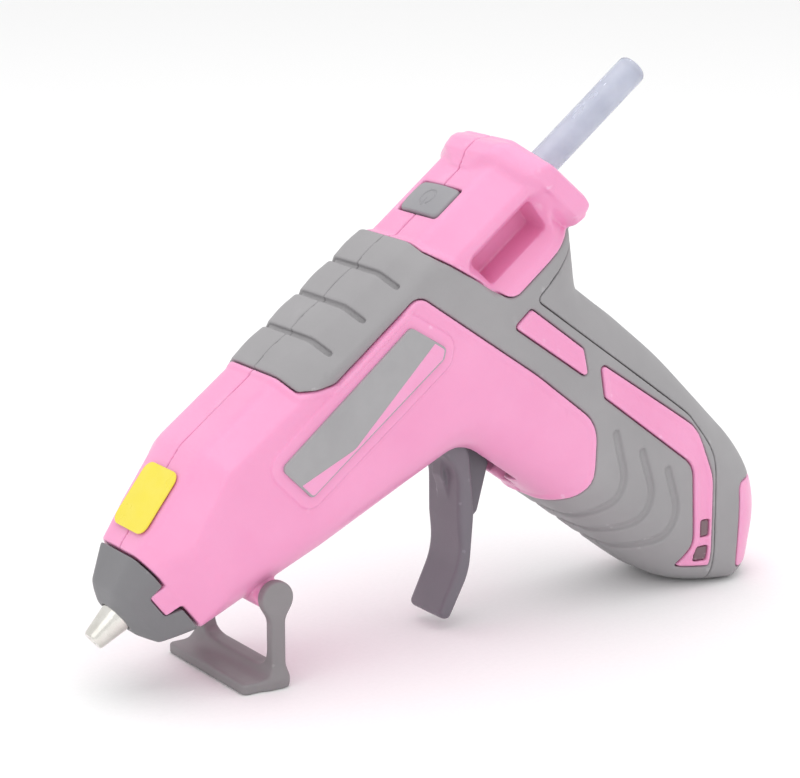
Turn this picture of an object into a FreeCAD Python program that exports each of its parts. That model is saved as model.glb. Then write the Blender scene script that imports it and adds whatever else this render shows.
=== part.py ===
"""Cordless mini glue gun, as a parametric FreeCAD document.

The gun is drawn in its own frame: +X forward along the glue stick's axis to the nozzle, +Y to the
user's left, +Z up, with the origin on the stick's axis near the rear collar. Every piece is then set
down in the row frame, in which the gun stands nose-down on its stand and on the heel of its grip.
Millimetres throughout.
"""

import FreeCAD, Part

import math
import os

import Sketcher
from FreeCAD import Placement, Rotation, Vector

doc = FreeCAD.newDocument("glue_gun")

# ---------------------------------------------------------------------------------------------
# Driving dimensions
# ---------------------------------------------------------------------------------------------

DIMENSIONS = {
    # how the gun stands
    "nose_tilt": 37.93,
    "axis_height": 103.9,
    "stance_shift": 29.4,
    # housing
    "half_width": 16.5,
    "wall": 2.4,
    "overmould_depth": 1.3,
    "crown_half": 8.6,
    "neck_top": 15.2,
    "saddle_top": 16.6,
    "nose_top": 17.9,
    "neck_rear": 19.8,
    "saddle_rear": 41.5,
    "saddle_front": 84.0,
    "nose_start": 107.0,
    "nose_side_start": 122.0,
    "cap_start": 131.0,
    "cap_knee": 139.3,
    "cap_front": 141.2,
    "collar_rear": 7.5,
    "collar_half": 19.6,
    "collar_top": 17.6,
    "grip_corner": 9.5,
    # glue stick and its path
    "stick_radius": 3.5,
    "stick_rear": -30.0,
    "stick_front": 105.0,
    "guide_bore": 3.8,
    "running_bore": 3.58,
    # melt chamber and nozzle
    "chamber_rear": 98.2,
    "chamber_front": 136.5,
    "chamber_radius": 6.5,
    "nozzle_tip": 148.2,
    "nozzle_tip_radius": 2.4,
    "nozzle_root_radius": 3.5,
    "nozzle_bore": 0.8,
    # trigger and feed
    "pivot_x": 61.0,
    "pivot_z": -23.0,
    "pivot_pin_radius": 1.5,
    "pivot_clearance": 0.05,
    "trigger_half": 6.5,
    "arm_half": 4.0,
    "feed_arm": 14.0,
    "feed_pin_radius": 1.5,
    "spring_radius": 5.3,
    "spring_wire": 0.4,
    "spring_length": 20.0,
    "spring_pitch": 2.9,
    "carriage_rear": 54.6,
    "carriage_front": 68.0,
    "carriage_half": 6.4,
    # stand
    "stand_x": 115.8,
    "stand_z": -16.3,
    "stand_height": 19.86,
    "stand_half": 16.5,
    "stand_leg": 2.9,
    "stand_bar": 3.5,
    "stand_foot": 8.9,
    "stand_boss_radius": 3.8,
    "stand_pin_radius": 1.2,
    "stand_gap": 0.3,
    "stand_foot_depth": 2.4,
    # power button
    "button_rear": 24.8,
    "button_front": 33.4,
    "button_half": 7.2,
    "button_proud": 0.7,
    "button_gap": 0.3,
    # battery and charging
    "cell_radius": 9.2,
    "cell_length": 65.0,
    "port_z": -89.5,
    # fasteners
    "screw_radius": 1.3,
    "screw_head_radius": 2.4,
    "post_radius": 3.2,
}


class Size:
    """A length that carries both its value and the sheet formula that makes it."""

    def __init__(self, value, formula):
        self.value = value
        self.formula = formula

    def joined(self, other, sign, value):
        """This length combined with another length or a plain number."""
        right = other.formula if isinstance(other, Size) else repr(float(other))
        return Size(value, f"({self.formula} {sign} {right})")

    def __add__(self, other):
        return self.joined(other, "+", self.value + number(other))

    def __sub__(self, other):
        return self.joined(other, "-", self.value - number(other))

    def __mul__(self, other):
        return self.joined(other, "*", self.value * number(other))

    def __rsub__(self, other):
        return Size(float(other) - self.value, f"({float(other)!r} - {self.formula})")

    def __neg__(self):
        return 0 - self


def number(size):
    """The plain value of a Size or of a number."""
    return size.value if isinstance(size, Size) else float(size)


def build_sheet():
    """Writes the driving dimensions to a sheet and returns them as Sizes by name."""
    sheet = doc.addObject("Spreadsheet::Sheet", "sizes")
    sizes = {}
    for row, (alias, value) in enumerate(DIMENSIONS.items(), start=1):
        sheet.set(f"A{row}", alias.replace("_", " "))
        sheet.set(f"B{row}", str(value))
        sheet.setAlias(f"B{row}", alias)
        sizes[alias] = Size(value, f"sizes.{alias}")
    doc.recompute()
    return sizes


d = build_sheet()


def bind(obj, prop, size):
    """Sets a property to a size, through the sheet where the size comes from it."""
    if isinstance(size, Size):
        obj.setExpression(prop, size.formula)
    else:
        target = obj
        names = prop.split(".")
        for name in names[:-1]:
            target = getattr(target, name)
        setattr(target, names[-1], size)


# ---------------------------------------------------------------------------------------------
# Drawing helpers
# ---------------------------------------------------------------------------------------------


def constrain(sketch, kind, args, size):
    """Adds one driving dimension to a sketch and binds it to the sheet."""
    index = sketch.addConstraint(Sketcher.Constraint(kind, *args, number(size)))
    if isinstance(size, Size):
        sketch.setExpression(f"Constraints[{index}]", size.formula)


def draw_outline(sketch, corners):
    """Draws a closed outline through corners (x, y) or (x, y, radius), each located from the origin."""
    points = [Vector(number(c[0]), number(c[1]), 0) for c in corners]
    radii = [number(c[2]) if len(c) > 2 else 0.0 for c in corners]
    count = len(corners)
    ends = []
    for i, corner in enumerate(points):
        back = (points[i - 1] - corner).normalize()
        ahead = (points[(i + 1) % count] - corner).normalize()
        half = back.getAngle(ahead) / 2
        run = radii[i] / math.tan(half)
        centre = corner + (back + ahead).normalize() * (radii[i] / math.sin(half))
        ends.append((corner + back * run, corner + ahead * run, centre))
    lines = [
        sketch.addGeometry(Part.LineSegment(ends[i][1], ends[(i + 1) % count][0]), False)
        for i in range(count)
    ]
    for i, corner in enumerate(points):
        before = lines[i - 1]
        after = lines[i]
        if radii[i] == 0:
            sketch.addConstraint(Sketcher.Constraint("Coincident", before, 2, after, 1))
            constrain(sketch, "DistanceX", (-1, 1, after, 1), corners[i][0])
            constrain(sketch, "DistanceY", (-1, 1, after, 1), corners[i][1])
            continue
        start, end, centre = ends[i]
        turns_left = (corner - points[i - 1]).cross(points[(i + 1) % count] - corner).z > 0
        first, last = (start, end) if turns_left else (end, start)
        angles = [math.atan2(p.y - centre.y, p.x - centre.x) for p in (first, last)]
        circle = Part.Circle(centre, Vector(0, 0, 1), radii[i])
        arc = sketch.addGeometry(Part.ArcOfCircle(circle, *angles), False)
        mark = sketch.addGeometry(Part.Point(corner), True)
        entry, leave = (1, 2) if turns_left else (2, 1)
        sketch.addConstraint(
            [
                Sketcher.Constraint("Tangent", before, 2, arc, entry),
                Sketcher.Constraint("Tangent", arc, leave, after, 1),
                Sketcher.Constraint("PointOnObject", mark, 1, before),
                Sketcher.Constraint("PointOnObject", mark, 1, after),
            ]
        )
        constrain(sketch, "Radius", (arc,), corners[i][2])
        constrain(sketch, "DistanceX", (-1, 1, mark, 1), corners[i][0])
        constrain(sketch, "DistanceY", (-1, 1, mark, 1), corners[i][1])


def draw_circle(sketch, x, y, radius):
    """Draws a located circle."""
    centre = Vector(number(x), number(y), 0)
    circle = sketch.addGeometry(Part.Circle(centre, Vector(0, 0, 1), number(radius)), False)
    constrain(sketch, "Radius", (circle,), radius)
    constrain(sketch, "DistanceX", (-1, 1, circle, 3), x)
    constrain(sketch, "DistanceY", (-1, 1, circle, 3), y)


def mirrored(half):
    """Closes a half section (y >= 0, listed from the top down) into the whole one."""
    whole = list(half)
    for corner in reversed(half):
        if number(corner[0]) > 0:
            whole.append((-corner[0], *corner[1:]))
    return whole


def new_body(name):
    return doc.addObject("PartDesign::Body", name)


def new_sketch(body, name, plane, offset=0.0):
    """A sketch on one of a body's own origin planes, moved along that plane's normal."""
    support = next(f for f in body.Origin.OriginFeatures if f.Role == plane)
    sketch = body.newObject("Sketcher::SketchObject", name)
    sketch.AttachmentSupport = (support, "")
    sketch.MapMode = "FlatFace"
    bind(sketch, "AttachmentOffset.Base.z", offset)
    return sketch


def pad(body, sketch, length, reverse=False):
    """Pads a sketch along its normal, or against it."""
    feature = body.newObject("PartDesign::Pad", sketch.Name + "_pad")
    feature.Profile = sketch
    bind(feature, "Length", length)
    feature.Reversed = reverse
    doc.recompute()
    return feature


def loft(body, sketches):
    """Joins sections with flat-sided facets."""
    feature = body.newObject("PartDesign::AdditiveLoft", body.Name + "_loft")
    feature.Profile = sketches[0]
    feature.Sections = sketches[1:]
    feature.Ruled = True
    doc.recompute()
    return feature


def revolve(name, profile):
    """A body turned about the stick's axis from a closed (x, radius) profile."""
    body = new_body(name)
    sketch = new_sketch(body, name + "_profile", "XZ_Plane")
    draw_outline(sketch, profile)
    feature = body.newObject("PartDesign::Revolution", name + "_turn")
    feature.Profile = sketch
    feature.ReferenceAxis = (sketch, ["H_Axis"])
    feature.Angle = 360.0
    doc.recompute()
    return body


def prism(name, corners, low, high):
    """A side outline (x, z) carried across the gun from y = low to y = high."""
    body = new_body(name)
    sketch = new_sketch(body, name + "_outline", "XZ_Plane", -low)
    draw_outline(sketch, corners)
    pad(body, sketch, high - low, reverse=True)
    return body


def box(name, low, high):
    """A block between two opposite corners."""
    block = doc.addObject("Part::Box", name)
    for axis, side, start, end in zip("xyz", ("Length", "Width", "Height"), low, high):
        bind(block, f"Placement.Base.{axis}", start)
        bind(block, side, end - start)
    return block


def rod(name, radius, start, end, along="y"):
    """A cylinder along X or Y from start to end."""
    turn = {"x": Rotation(Vector(0, 1, 0), 90), "y": Rotation(Vector(1, 0, 0), -90)}[along]
    cylinder = doc.addObject("Part::Cylinder", name)
    cylinder.Placement = Placement(Vector(0, 0, 0), turn)
    for axis, place in zip("xyz", start):
        bind(cylinder, f"Placement.Base.{axis}", place)
    bind(cylinder, "Radius", radius)
    bind(cylinder, "Height", end - start["xyz".index(along)])
    return cylinder


def fuse(name, *shapes):
    joined = doc.addObject("Part::MultiFuse", name)
    joined.Shapes = list(shapes)
    return joined


def common(name, *shapes):
    shared = doc.addObject("Part::MultiCommon", name)
    shared.Shapes = list(shapes)
    return shared


def cut(name, base, *tools):
    """Takes one or more tools out of a base."""
    removed = tools[0] if len(tools) == 1 else fuse(name + "_tools", *tools)
    result = doc.addObject("Part::Cut", name)
    result.Base = base
    result.Tool = removed
    return result


# ---------------------------------------------------------------------------------------------
# The housing's outer form, and the same form set inwards by a wall
# ---------------------------------------------------------------------------------------------

half = d["half_width"]

# the gun frame set down in the row frame: nose down, on the stand and the heel of the grip
GUN = Placement(
    Vector(number(d["stance_shift"]), 0, number(d["axis_height"])),
    Rotation(Vector(0, 1, 0), -number(d["nose_tilt"])) * Rotation(Vector(0, 0, 1), 180),
)


def barrel_section(body, name, x, crown, top, side, shoulder, belly, bottom, inset):
    """A section across the barrel: flat crown, 45 degree shoulder, upright side, rounded belly."""
    sketch = new_sketch(body, name, "YZ_Plane", x)
    reach = side - inset
    half_section = [
        (crown - 0.4 * inset, top - inset),
        (reach, shoulder - 0.4 * inset),
        (reach, belly),
        (reach * 0.8, belly * 0.5 + (bottom + inset) * 0.5),
        (reach * 0.42, bottom + inset),
    ]
    draw_outline(sketch, mirrored(half_section))
    return sketch


BARREL_STATIONS = [
    # (x, crown half width, top, half width, shoulder, belly, bottom)
    (d["collar_rear"] + 4.0, d["crown_half"], d["neck_top"], half, 8.6, -7.0, -22.0),
    (d["saddle_rear"], d["crown_half"], d["neck_top"], half, 9.0, -8.0, -28.0),
    (d["saddle_rear"] + 0.1, d["crown_half"], d["saddle_top"], half, 10.2, -8.0, -28.0),
    (d["nose_start"], d["crown_half"], d["nose_top"], half, 13.2, -7.0, -20.8),
    (d["nose_side_start"], 7.4, 13.0, half, 6.4, -6.6, -16.6),
    (d["cap_start"] + 0.6, 6.3, 9.9, 10.4, 6.3, -4.6, -12.7),
    (d["cap_knee"], 4.8, 7.5, 7.7, 4.6, -3.8, -8.2),
    (d["cap_front"], 2.7, 4.3, 4.4, 2.7, -2.2, -4.3),
]


def barrel_form(tag, inset, station_count):
    """The barrel from the neck towards the nose, through the first stations of the table."""
    body = new_body(f"barrel_{tag}")
    sections = []
    for index, (x, *sizes) in enumerate(BARREL_STATIONS[:station_count]):
        start = x + inset if index == 0 else x
        sections.append(barrel_section(body, f"barrel_{tag}_{index}", start, *sizes, inset))
    loft(body, sections)
    return body


GRIP_STATIONS = [
    # (height, rear, front, half-width share, corner share)
    (-2.0, 9.0, 72.0, 1.0, 0.6),
    (-9.0, 3.5, 72.0, 1.0, 0.6),
    (-14.0, 1.0, 72.0, 1.0, 0.8),
    (-19.0, 8.5, 71.0, 1.0, 1.0),
    (-25.5, 14.0, 69.5, 1.0, 1.0),
    (-31.0, 12.5, 66.0, 1.0, 1.0),
    (-37.0, 9.9, 59.0, 1.0, 1.0),
    (-47.0, 6.8, 55.2, 1.0, 1.0),
    (-60.0, 4.2, 51.4, 1.0, 1.0),
    (-75.0, 2.4, 46.8, 1.0, 1.0),
    (-88.0, 1.4, 43.0, 0.98, 0.9),
    (-98.0, 3.4, 40.2, 0.97, 0.8),
    (-106.0, 7.4, 37.0, 0.96, 0.7),
    (-113.0, 13.0, 34.0, 0.95, 0.6),
    (-119.0, 20.0, 31.0, 0.94, 0.5),
]


def grip_form(tag, inset):
    """The grip, as rounded sections stacked down its height."""
    body = new_body(f"grip_{tag}")
    sections = []
    for index, (height, rear, front, width_share, corner_share) in enumerate(GRIP_STATIONS):
        sketch = new_sketch(body, f"grip_{tag}_{index}", "XY_Plane", height)
        reach = half * width_share - inset
        corner = d["grip_corner"] * corner_share - 0.5 * inset
        draw_outline(
            sketch,
            [
                (rear + inset, -reach, corner),
                (front - inset, -reach, corner),
                (front - inset, reach, corner),
                (rear + inset, reach, corner),
            ],
        )
        sections.append(sketch)
    loft(body, sections)
    return body


def collar_form(tag, inset):
    """The flared ring round the stick's inlet."""
    body = new_body(f"collar_{tag}")
    wide = d["collar_half"]
    crown = d["collar_top"]
    rear = d["collar_rear"] + 1.2 * inset
    stations = [
        (d["neck_rear"] + 1.0, half, d["neck_top"], 8.0),
        (d["neck_rear"] - 2.4, wide, crown, 8.6),
        (rear + 4.6, wide, crown, 8.6),
        (rear, wide - 3.4, crown - 4.4, 6.0),
    ]
    sections = []
    for index, (x, side, top, shoulder) in enumerate(stations):
        sketch = new_sketch(body, f"collar_{tag}_{index}", "YZ_Plane", x)
        half_section = [
            (d["crown_half"] - 0.4 * inset, top - inset),
            (side - inset, shoulder - 0.4 * inset),
            (side - inset, -8.6 + inset),
            (8.0, -12.0 + inset),
        ]
        draw_outline(sketch, mirrored(half_section))
        sections.append(sketch)
    loft(body, sections)
    return body


def ground_block(name, lift):
    """Everything up to a lift above the surface that the gun stands on."""
    block = doc.addObject("Part::Box", name)
    block.Length, block.Width, block.Height = 400.0, 100.0, 80.0
    block.Placement = GUN.inverse() * Placement(Vector(-200, -50, lift - 80.0), Rotation())
    return block


def housing_form(tag, inset, station_count):
    """The whole outer form, or the same form set inwards, standing on its heel."""
    whole = fuse(
        f"form_{tag}_parts",
        barrel_form(tag, inset, station_count),
        grip_form(tag, inset),
        collar_form(tag, inset),
    )
    return cut(f"form_{tag}", whole, ground_block(f"ground_{tag}", inset))


# ---------------------------------------------------------------------------------------------
# Side outlines of the covers (x, z, corner radius)
# ---------------------------------------------------------------------------------------------

OVERMOULD_OUTLINE = [
    (-12.0, -8.5),
    (33.2, -8.7, 4.0),
    (42.2, 14.0),
    (d["saddle_rear"] + 0.1, 40.0),
    (d["saddle_front"], 40.0),
    (d["saddle_front"], 14.0),
    (77.0, 9.8, 3.0),
    (50.2, 9.8, 3.5),
    (38.7, -26.8),
    (33.6, -47.8, 8.0),
    (44.5, -60.6, 8.0),
    (54.0, -56.8),
    (80.0, -60.0),
    (60.0, -130.0),
    (-12.0, -130.0),
]

STRAP_OUTLINE = [
    (-12.0, -30.0),
    (28.6, -13.0, 1.0),
    (13.0, -67.0, 8.0),
    (13.2, -79.0, 12.0),
    (38.0, -112.0),
    (20.0, -135.0),
    (-12.0, -120.0),
]

INSERT_OUTLINE = [
    (-8.0, -82.0),
    (4.2, -82.0),
    (4.8, -92.0),
    (10.6, -104.2),
    (0.0, -110.0),
]

PARALLELOGRAM_INLAY = [
    (30.8, -13.6, 1.0),
    (26.0, -31.0, 1.5),
    (29.2, -37.8, 0.8),
    (36.6, -13.8, 0.8),
]

STRIP_INLAY = [
    (24.6, -37.2, 0.8),
    (13.6, -70.5, 9.0),
    (17.6, -83.2, 12.0),
    (31.0, -100.8, 0.8),
    (37.4, -94.8, 0.8),
    (31.2, -92.2),
    (20.0, -76.5, 6.0),
    (28.6, -44.6, 0.8),
]


# ---------------------------------------------------------------------------------------------
# Pieces. Each function makes one sub-part in the gun frame and returns it
# ---------------------------------------------------------------------------------------------

SCREW_SPOTS = [
    (112.0, 10.6),
    (104.0, -16.6),
    (46.0, 10.8),
    (44.0, -21.0),
    (21.0, -17.5),
    (44.0, -62.0),
    (35.4, -96.6),
]

pivot = (d["pivot_x"], d["pivot_z"])
stand_pivot = (d["stand_x"], d["stand_z"])


def make_forms():
    """The outer form and the two forms inside it that the walls and covers are cut with."""
    forms = {
        "outer": housing_form("outer", 0.0, 8),
        "under": housing_form("under", number(d["overmould_depth"]), 8),
        "inner": housing_form("inner", number(d["wall"]) + 0.6, 6),
    }
    forms["skin"] = cut("outer_skin", forms["outer"], forms["under"])
    forms["left"] = box("left_side", (-60.0, 0.0, -150.0), (160.0, 40.0, 60.0))
    forms["right"] = box("right_side", (-60.0, -40.0, -150.0), (160.0, 0.0, 60.0))
    forms["overmould"] = prism("overmould_region", OVERMOULD_OUTLINE, -40.0, 40.0)
    forms["strap"] = prism("strap_region", STRAP_OUTLINE, -40.0, 40.0)
    forms["insert"] = prism("insert_region", INSERT_OUTLINE, -9.5, 9.5)
    inlays = [
        prism("parallelogram_inlay", PARALLELOGRAM_INLAY, -40.0, 40.0),
        prism("strip_inlay", STRIP_INLAY, -40.0, 40.0),
    ]
    forms["inlays"] = fuse("inlays", *inlays)
    covered = fuse("cover_regions", forms["overmould"], forms["strap"])
    forms["covers"] = common("cover_recess", forms["skin"], covered)
    forms["recess"] = cut("recess", forms["covers"], forms["inlays"])
    return forms


def window_corners(grow):
    """The stick window's outline, or the same outline grown on every side."""
    return [
        (15.6 - grow, 4.6 + grow, 1.0),
        (15.6 - grow, -3.6 - grow, 1.0),
        (34.0 + grow, -3.6 - grow, 1.0),
        (35.4 + grow, 4.6 + grow, 1.0),
    ]


def window_cut(side):
    """The see-through stick window: a slot in the side wall with a sloped frame round it."""
    low, high = (4.5, 21.0) if side == "left" else (-21.0, -4.5)
    slot = prism(f"window_{side}_slot", window_corners(0.0), low, high)
    outward = 1.0 if side == "left" else -1.0
    body = new_body(f"window_{side}_frame")
    sketches = []
    for depth, grow in ((13.2, 0.2), (18.5, 3.2)):
        sketch = new_sketch(body, f"window_{side}_{int(depth)}", "XZ_Plane", -outward * depth)
        draw_outline(sketch, window_corners(grow))
        sketches.append(sketch)
    loft(body, sketches)
    return fuse(f"window_{side}", slot, body)


def trigger_slot():
    """The opening in the arch that the trigger hangs through, with a narrow slot behind for its web."""
    mouth = prism(
        "trigger_mouth",
        [(55.5, -17.0), (51.0, -48.0), (70.0, -48.0), (66.6, -32.0), (66.6, -17.0)],
        -7.1,
        7.1,
    )
    web_slot = prism("web_slot", [(44.0, -34.0), (44.0, -50.0), (60.0, -54.0), (60.0, -34.0)], -2.6, 2.6)
    return fuse("trigger_opening", mouth, web_slot)


def make_shell(side, forms):
    """One half of the pink casing, with its screw posts, chamber ribs, stand lug and openings."""
    outward = 1.0 if side == "left" else -1.0
    low, high = (0.0, 30.0) if side == "left" else (-30.0, 0.0)
    tag = f"{side}_shell"
    posts = [
        rod(f"{tag}_post_{i}", d["post_radius"], (x, low, z), high) for i, (x, z) in enumerate(SCREW_SPOTS)
    ]
    ribs = [
        box(f"{tag}_front_rib", (119.0, low, -30.0), (121.0, high, 30.0)),
        box(f"{tag}_rear_rib", (90.6, low, -30.0), (92.6, high, 30.0)),
        box(f"{tag}_inlet_rib", (10.0, low, -30.0), (12.5, high, 30.0)),
    ]
    pin_boss_start = 7.0 if side == "left" else -20.0
    pin_boss = rod(f"{tag}_pin_boss", 3.4, (*pivot[:1], pin_boss_start, pivot[1]), pin_boss_start + 13.0)
    inside = common(f"{tag}_fittings", fuse(f"{tag}_raw_fittings", *posts, *ribs, pin_boss), forms["outer"])
    lug_low = 0.0 if side == "left" else -(d["stand_half"] - d["stand_leg"] - d["stand_gap"])
    lug_high = d["stand_half"] - d["stand_leg"] - d["stand_gap"] if side == "left" else 0.0
    lug = rod(f"{tag}_lug", 3.3, (stand_pivot[0], lug_low, stand_pivot[1]), lug_high)
    wall = cut(f"{tag}_wall", common(f"{tag}_half", forms["outer"], forms[side]), forms["inner"])
    solid = fuse(f"{tag}_solid", wall, inside, lug)
    ahead = box(f"{tag}_nose_cut", (d["cap_start"], -30.0, -30.0), (160.0, 30.0, 30.0))
    solid = cut(f"{tag}_trimmed", solid, ahead)
    tongue_low, tongue_high = sorted((outward * 6.4, outward * 14.0))
    tongue = common(
        f"{tag}_tongue",
        forms["skin"],
        box(
            f"{tag}_tongue_box",
            (d["cap_start"] - 1.0, tongue_low, -3.4),
            (d["cap_start"] + 4.0, tongue_high, 3.4),
        ),
    )
    bores = [
        rod(f"{tag}_inlet_bore", d["guide_bore"] + 0.6, (0.0, 0.0, 0.0), 12.6, "x"),
        rod(f"{tag}_bushing_seat", 6.0, (9.9, 0.0, 0.0), 12.6, "x"),
        rod(f"{tag}_sleeve_seat", 5.6, (90.0, 0.0, 0.0), 93.0, "x"),
        rod(f"{tag}_chamber_seat", d["chamber_radius"] + 0.1, (118.0, 0.0, 0.0), 132.0, "x"),
        box(f"{tag}_heater_gap", (118.0, -6.2, -13.2), (122.0, 6.2, 0.0)),
        rod(f"{tag}_pin_hole", d["pivot_pin_radius"], (pivot[0], -11.5, pivot[1]), 11.5),
        rod(f"{tag}_stand_pin_hole", d["stand_pin_radius"], (stand_pivot[0], -20.0, stand_pivot[1]), 20.0),
        box(
            f"{tag}_button_hole",
            (d["button_rear"] - d["button_gap"], -(d["button_half"] + d["button_gap"]), 10.0),
            (d["button_front"] + d["button_gap"], d["button_half"] + d["button_gap"], 20.0),
        ),
        windows[side],
        trigger_opening,
        forms["recess"],
        common(f"{tag}_insert_recess", forms["skin"], forms["insert"]),
        box(f"{tag}_port_hole", (-2.0, -4.6, d["port_z"] - 1.8), (9.0, 4.6, d["port_z"] + 1.8)),
    ]
    for index, (x, z) in enumerate(SCREW_SPOTS):
        if side == "left":
            bores.append(rod(f"{tag}_pilot_{index}", d["screw_radius"] - 0.05, (x, -1.0, z), 9.0))
        else:
            bores.append(rod(f"{tag}_clearance_{index}", d["screw_radius"] + 0.2, (x, -30.0, z), 1.0))
            bores.append(rod(f"{tag}_counterbore_{index}", d["screw_head_radius"] + 0.3, (x, -30.0, z), -6.0))
    if side == "left":
        bores += light_windows(0.0)
    shell = cut(tag + "_bored", fuse(f"{tag}_with_tongue", solid, tongue), *bores)
    return common(tag, shell, forms[side])


def light_windows(inset):
    """The two small indicator windows in the left strip."""
    return [
        box(
            f"light_window_{i}_{int(inset * 10)}",
            (x + inset, 10.6, z + inset),
            (x + 2.6 - inset, 30.0, z + 4.0 - inset),
        )
        for i, (x, z) in enumerate(((24.6, -91.0), (28.6, -96.6)))
    ]


def make_covers(forms):
    """The grey overmould on each side, the back strap and the pink heel insert."""
    pieces = []
    side_region = cut("overmould_only", forms["overmould"], forms["strap"], forms["inlays"])
    for side in ("left", "right"):
        raw = common(f"{side}_cover_half", forms["skin"], side_region, forms[side])
        openings = [windows[side], trigger_opening]
        for index, (x, z) in enumerate(SCREW_SPOTS):
            if side == "right":
                openings.append(
                    rod(f"right_cover_hole_{index}", d["screw_head_radius"] + 0.3, (x, -30.0, z), -6.0)
                )
        pieces.append(cut(f"{side}_overmould", raw, *openings))
    strap = common("strap_raw", forms["skin"], forms["strap"])
    pieces.append(cut("back_strap", strap, forms["insert"]))
    insert = common("insert_raw", forms["skin"], forms["insert"])
    port = box("insert_port", (-6.0, -4.6, d["port_z"] - 1.75), (9.0, 4.6, d["port_z"] + 1.75))
    pieces.append(cut("heel_insert", insert, port))
    return pieces


def make_nose_cap(forms):
    """The heat-resistant cap, notched at the sides for the shells' tongues."""
    block = common(
        "cap_block",
        forms["outer"],
        box("cap_region", (d["cap_start"] + 0.05, -30.0, -30.0), (d["cap_front"], 30.0, 30.0)),
    )
    hollow = rod("cap_hollow", d["chamber_radius"] + 0.3, (d["cap_start"] - 1.0, 0.0, 0.0), 137.0, "x")
    mouth_radius = d["nozzle_root_radius"] + 0.1
    mouth = rod("cap_mouth", mouth_radius, (d["cap_start"], 0.0, 0.0), d["cap_front"] + 1.0, "x")
    notches = box("cap_notches", (d["cap_start"] - 1.0, -14.0, -3.5), (d["cap_start"] + 4.1, 14.0, 3.5))
    kept = rod("cap_core", 6.3, (d["cap_start"] - 2.0, 0.0, 0.0), d["cap_start"] + 5.0, "x")
    return cut("nose_cap", block, hollow, mouth, cut("cap_notches_cut", notches, kept))


def make_hot_end():
    """Nozzle, melt chamber, heater, thermal fuse and inlet sleeve, in line with the stick."""
    tip = d["nozzle_tip"]
    root = d["cap_front"]
    nozzle = revolve(
        "nozzle",
        [
            (133.0, 1.6),
            (133.0, 3.0),
            (d["chamber_front"], 3.0),
            (d["chamber_front"], d["nozzle_root_radius"]),
            (root + 0.9, d["nozzle_root_radius"]),
            (root + 1.2, 3.3),
            (tip - 0.6, d["nozzle_tip_radius"]),
            (tip, d["nozzle_tip_radius"] - 0.4),
            (tip, d["nozzle_bore"] + 0.5),
            (tip - 1.2, d["nozzle_bore"]),
            (139.0, d["nozzle_bore"]),
        ],
    )
    rear = d["chamber_rear"]
    front = d["chamber_front"]
    chamber = revolve(
        "melt_tube",
        [
            (rear, 4.4),
            (rear, d["chamber_radius"]),
            (front, d["chamber_radius"]),
            (front, 3.0),
            (132.9, 3.0),
            (132.9, 1.6),
            (126.0, d["guide_bore"]),
            (rear + 1.5, d["guide_bore"]),
        ],
    )
    saddle = box("chamber_saddle", (103.0, -5.6, -12.6), (120.0, 5.6, -4.6))
    heater_slot = box("heater_slot", (102.0, -4.6, -11.0), (121.0, 4.6, -8.0))
    bore = rod("chamber_clear_bore", 6.0, (102.0, 0.0, 0.0), 121.0, "x")
    block = cut("chamber_block", saddle, heater_slot, bore)
    melt_chamber = fuse("melt_chamber", chamber, block)
    heater = box("heater_element", (104.0, -4.5, -10.9), (119.2, 4.5, -8.1))
    fuse_link = rod("thermal_fuse", 1.4, (99.5, 0.0, 8.0), 107.5, "x")
    sleeve = revolve(
        "inlet_sleeve",
        [
            (88.8, 4.4),
            (88.8, 7.2),
            (90.4, 7.2),
            (90.4, 5.5),
            (98.1, 5.5),
            (98.1, d["guide_bore"]),
            (90.0, d["guide_bore"]),
        ],
    )
    return [nozzle, melt_chamber, heater, fuse_link, sleeve]


def make_stick_path():
    """The glue stick and the bushing that steadies it in the collar."""
    stick = rod("glue_stick", d["stick_radius"], (d["stick_rear"], 0.0, 0.0), d["stick_front"], "x")
    bushing = revolve(
        "inlet_bushing",
        [
            (10.0, 4.2),
            (10.0, 5.9),
            (12.4, 5.9),
            (12.4, 5.2),
            (14.2, 5.2),
            (14.2, d["running_bore"]),
            (10.8, d["running_bore"]),
        ],
    )
    return [stick, bushing]


def make_carriage():
    """The feed carriage that grips the stick, its cross pin and its gripper plate."""
    reach = d["carriage_half"]
    rear, front = d["carriage_rear"], d["carriage_front"]
    block = box("carriage_block", (rear, -reach, -reach), (front, reach, reach))
    ears = [
        box(f"carriage_ear_{i}", (pivot[0] - 2.8, low, -11.6), (pivot[0] + 2.8, low + 2.0, -reach + 1.0))
        for i, low in enumerate((d["arm_half"] + 0.4, -(d["arm_half"] + 2.4)))
    ]
    pin_height = pivot[1] + d["feed_arm"]
    bore = rod("carriage_bore", d["running_bore"], (rear - 1.0, 0.0, 0.0), front + 1.0, "x")
    spring_seat = rod("carriage_spring_seat", 6.1, (front - 0.8, 0.0, 0.0), front + 1.0, "x")
    pin_hole = rod("carriage_pin_hole", d["feed_pin_radius"], (pivot[0], -10.0, pin_height), 10.0)
    carriage = cut("feed_carriage", fuse("carriage_solid", block, *ears), bore, spring_seat, pin_hole)
    pin = rod("feed_pin", d["feed_pin_radius"], (pivot[0], -reach, pin_height), reach)
    plate = box("gripper_blank", (rear - 1.3, -5.6, -5.6), (rear - 0.1, 5.6, 5.6))
    plate_bore = rod("gripper_bore", d["running_bore"], (rear - 2.0, 0.0, 0.0), rear + 1.0, "x")
    return [carriage, pin, cut("stick_gripper", plate, plate_bore)]


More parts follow.
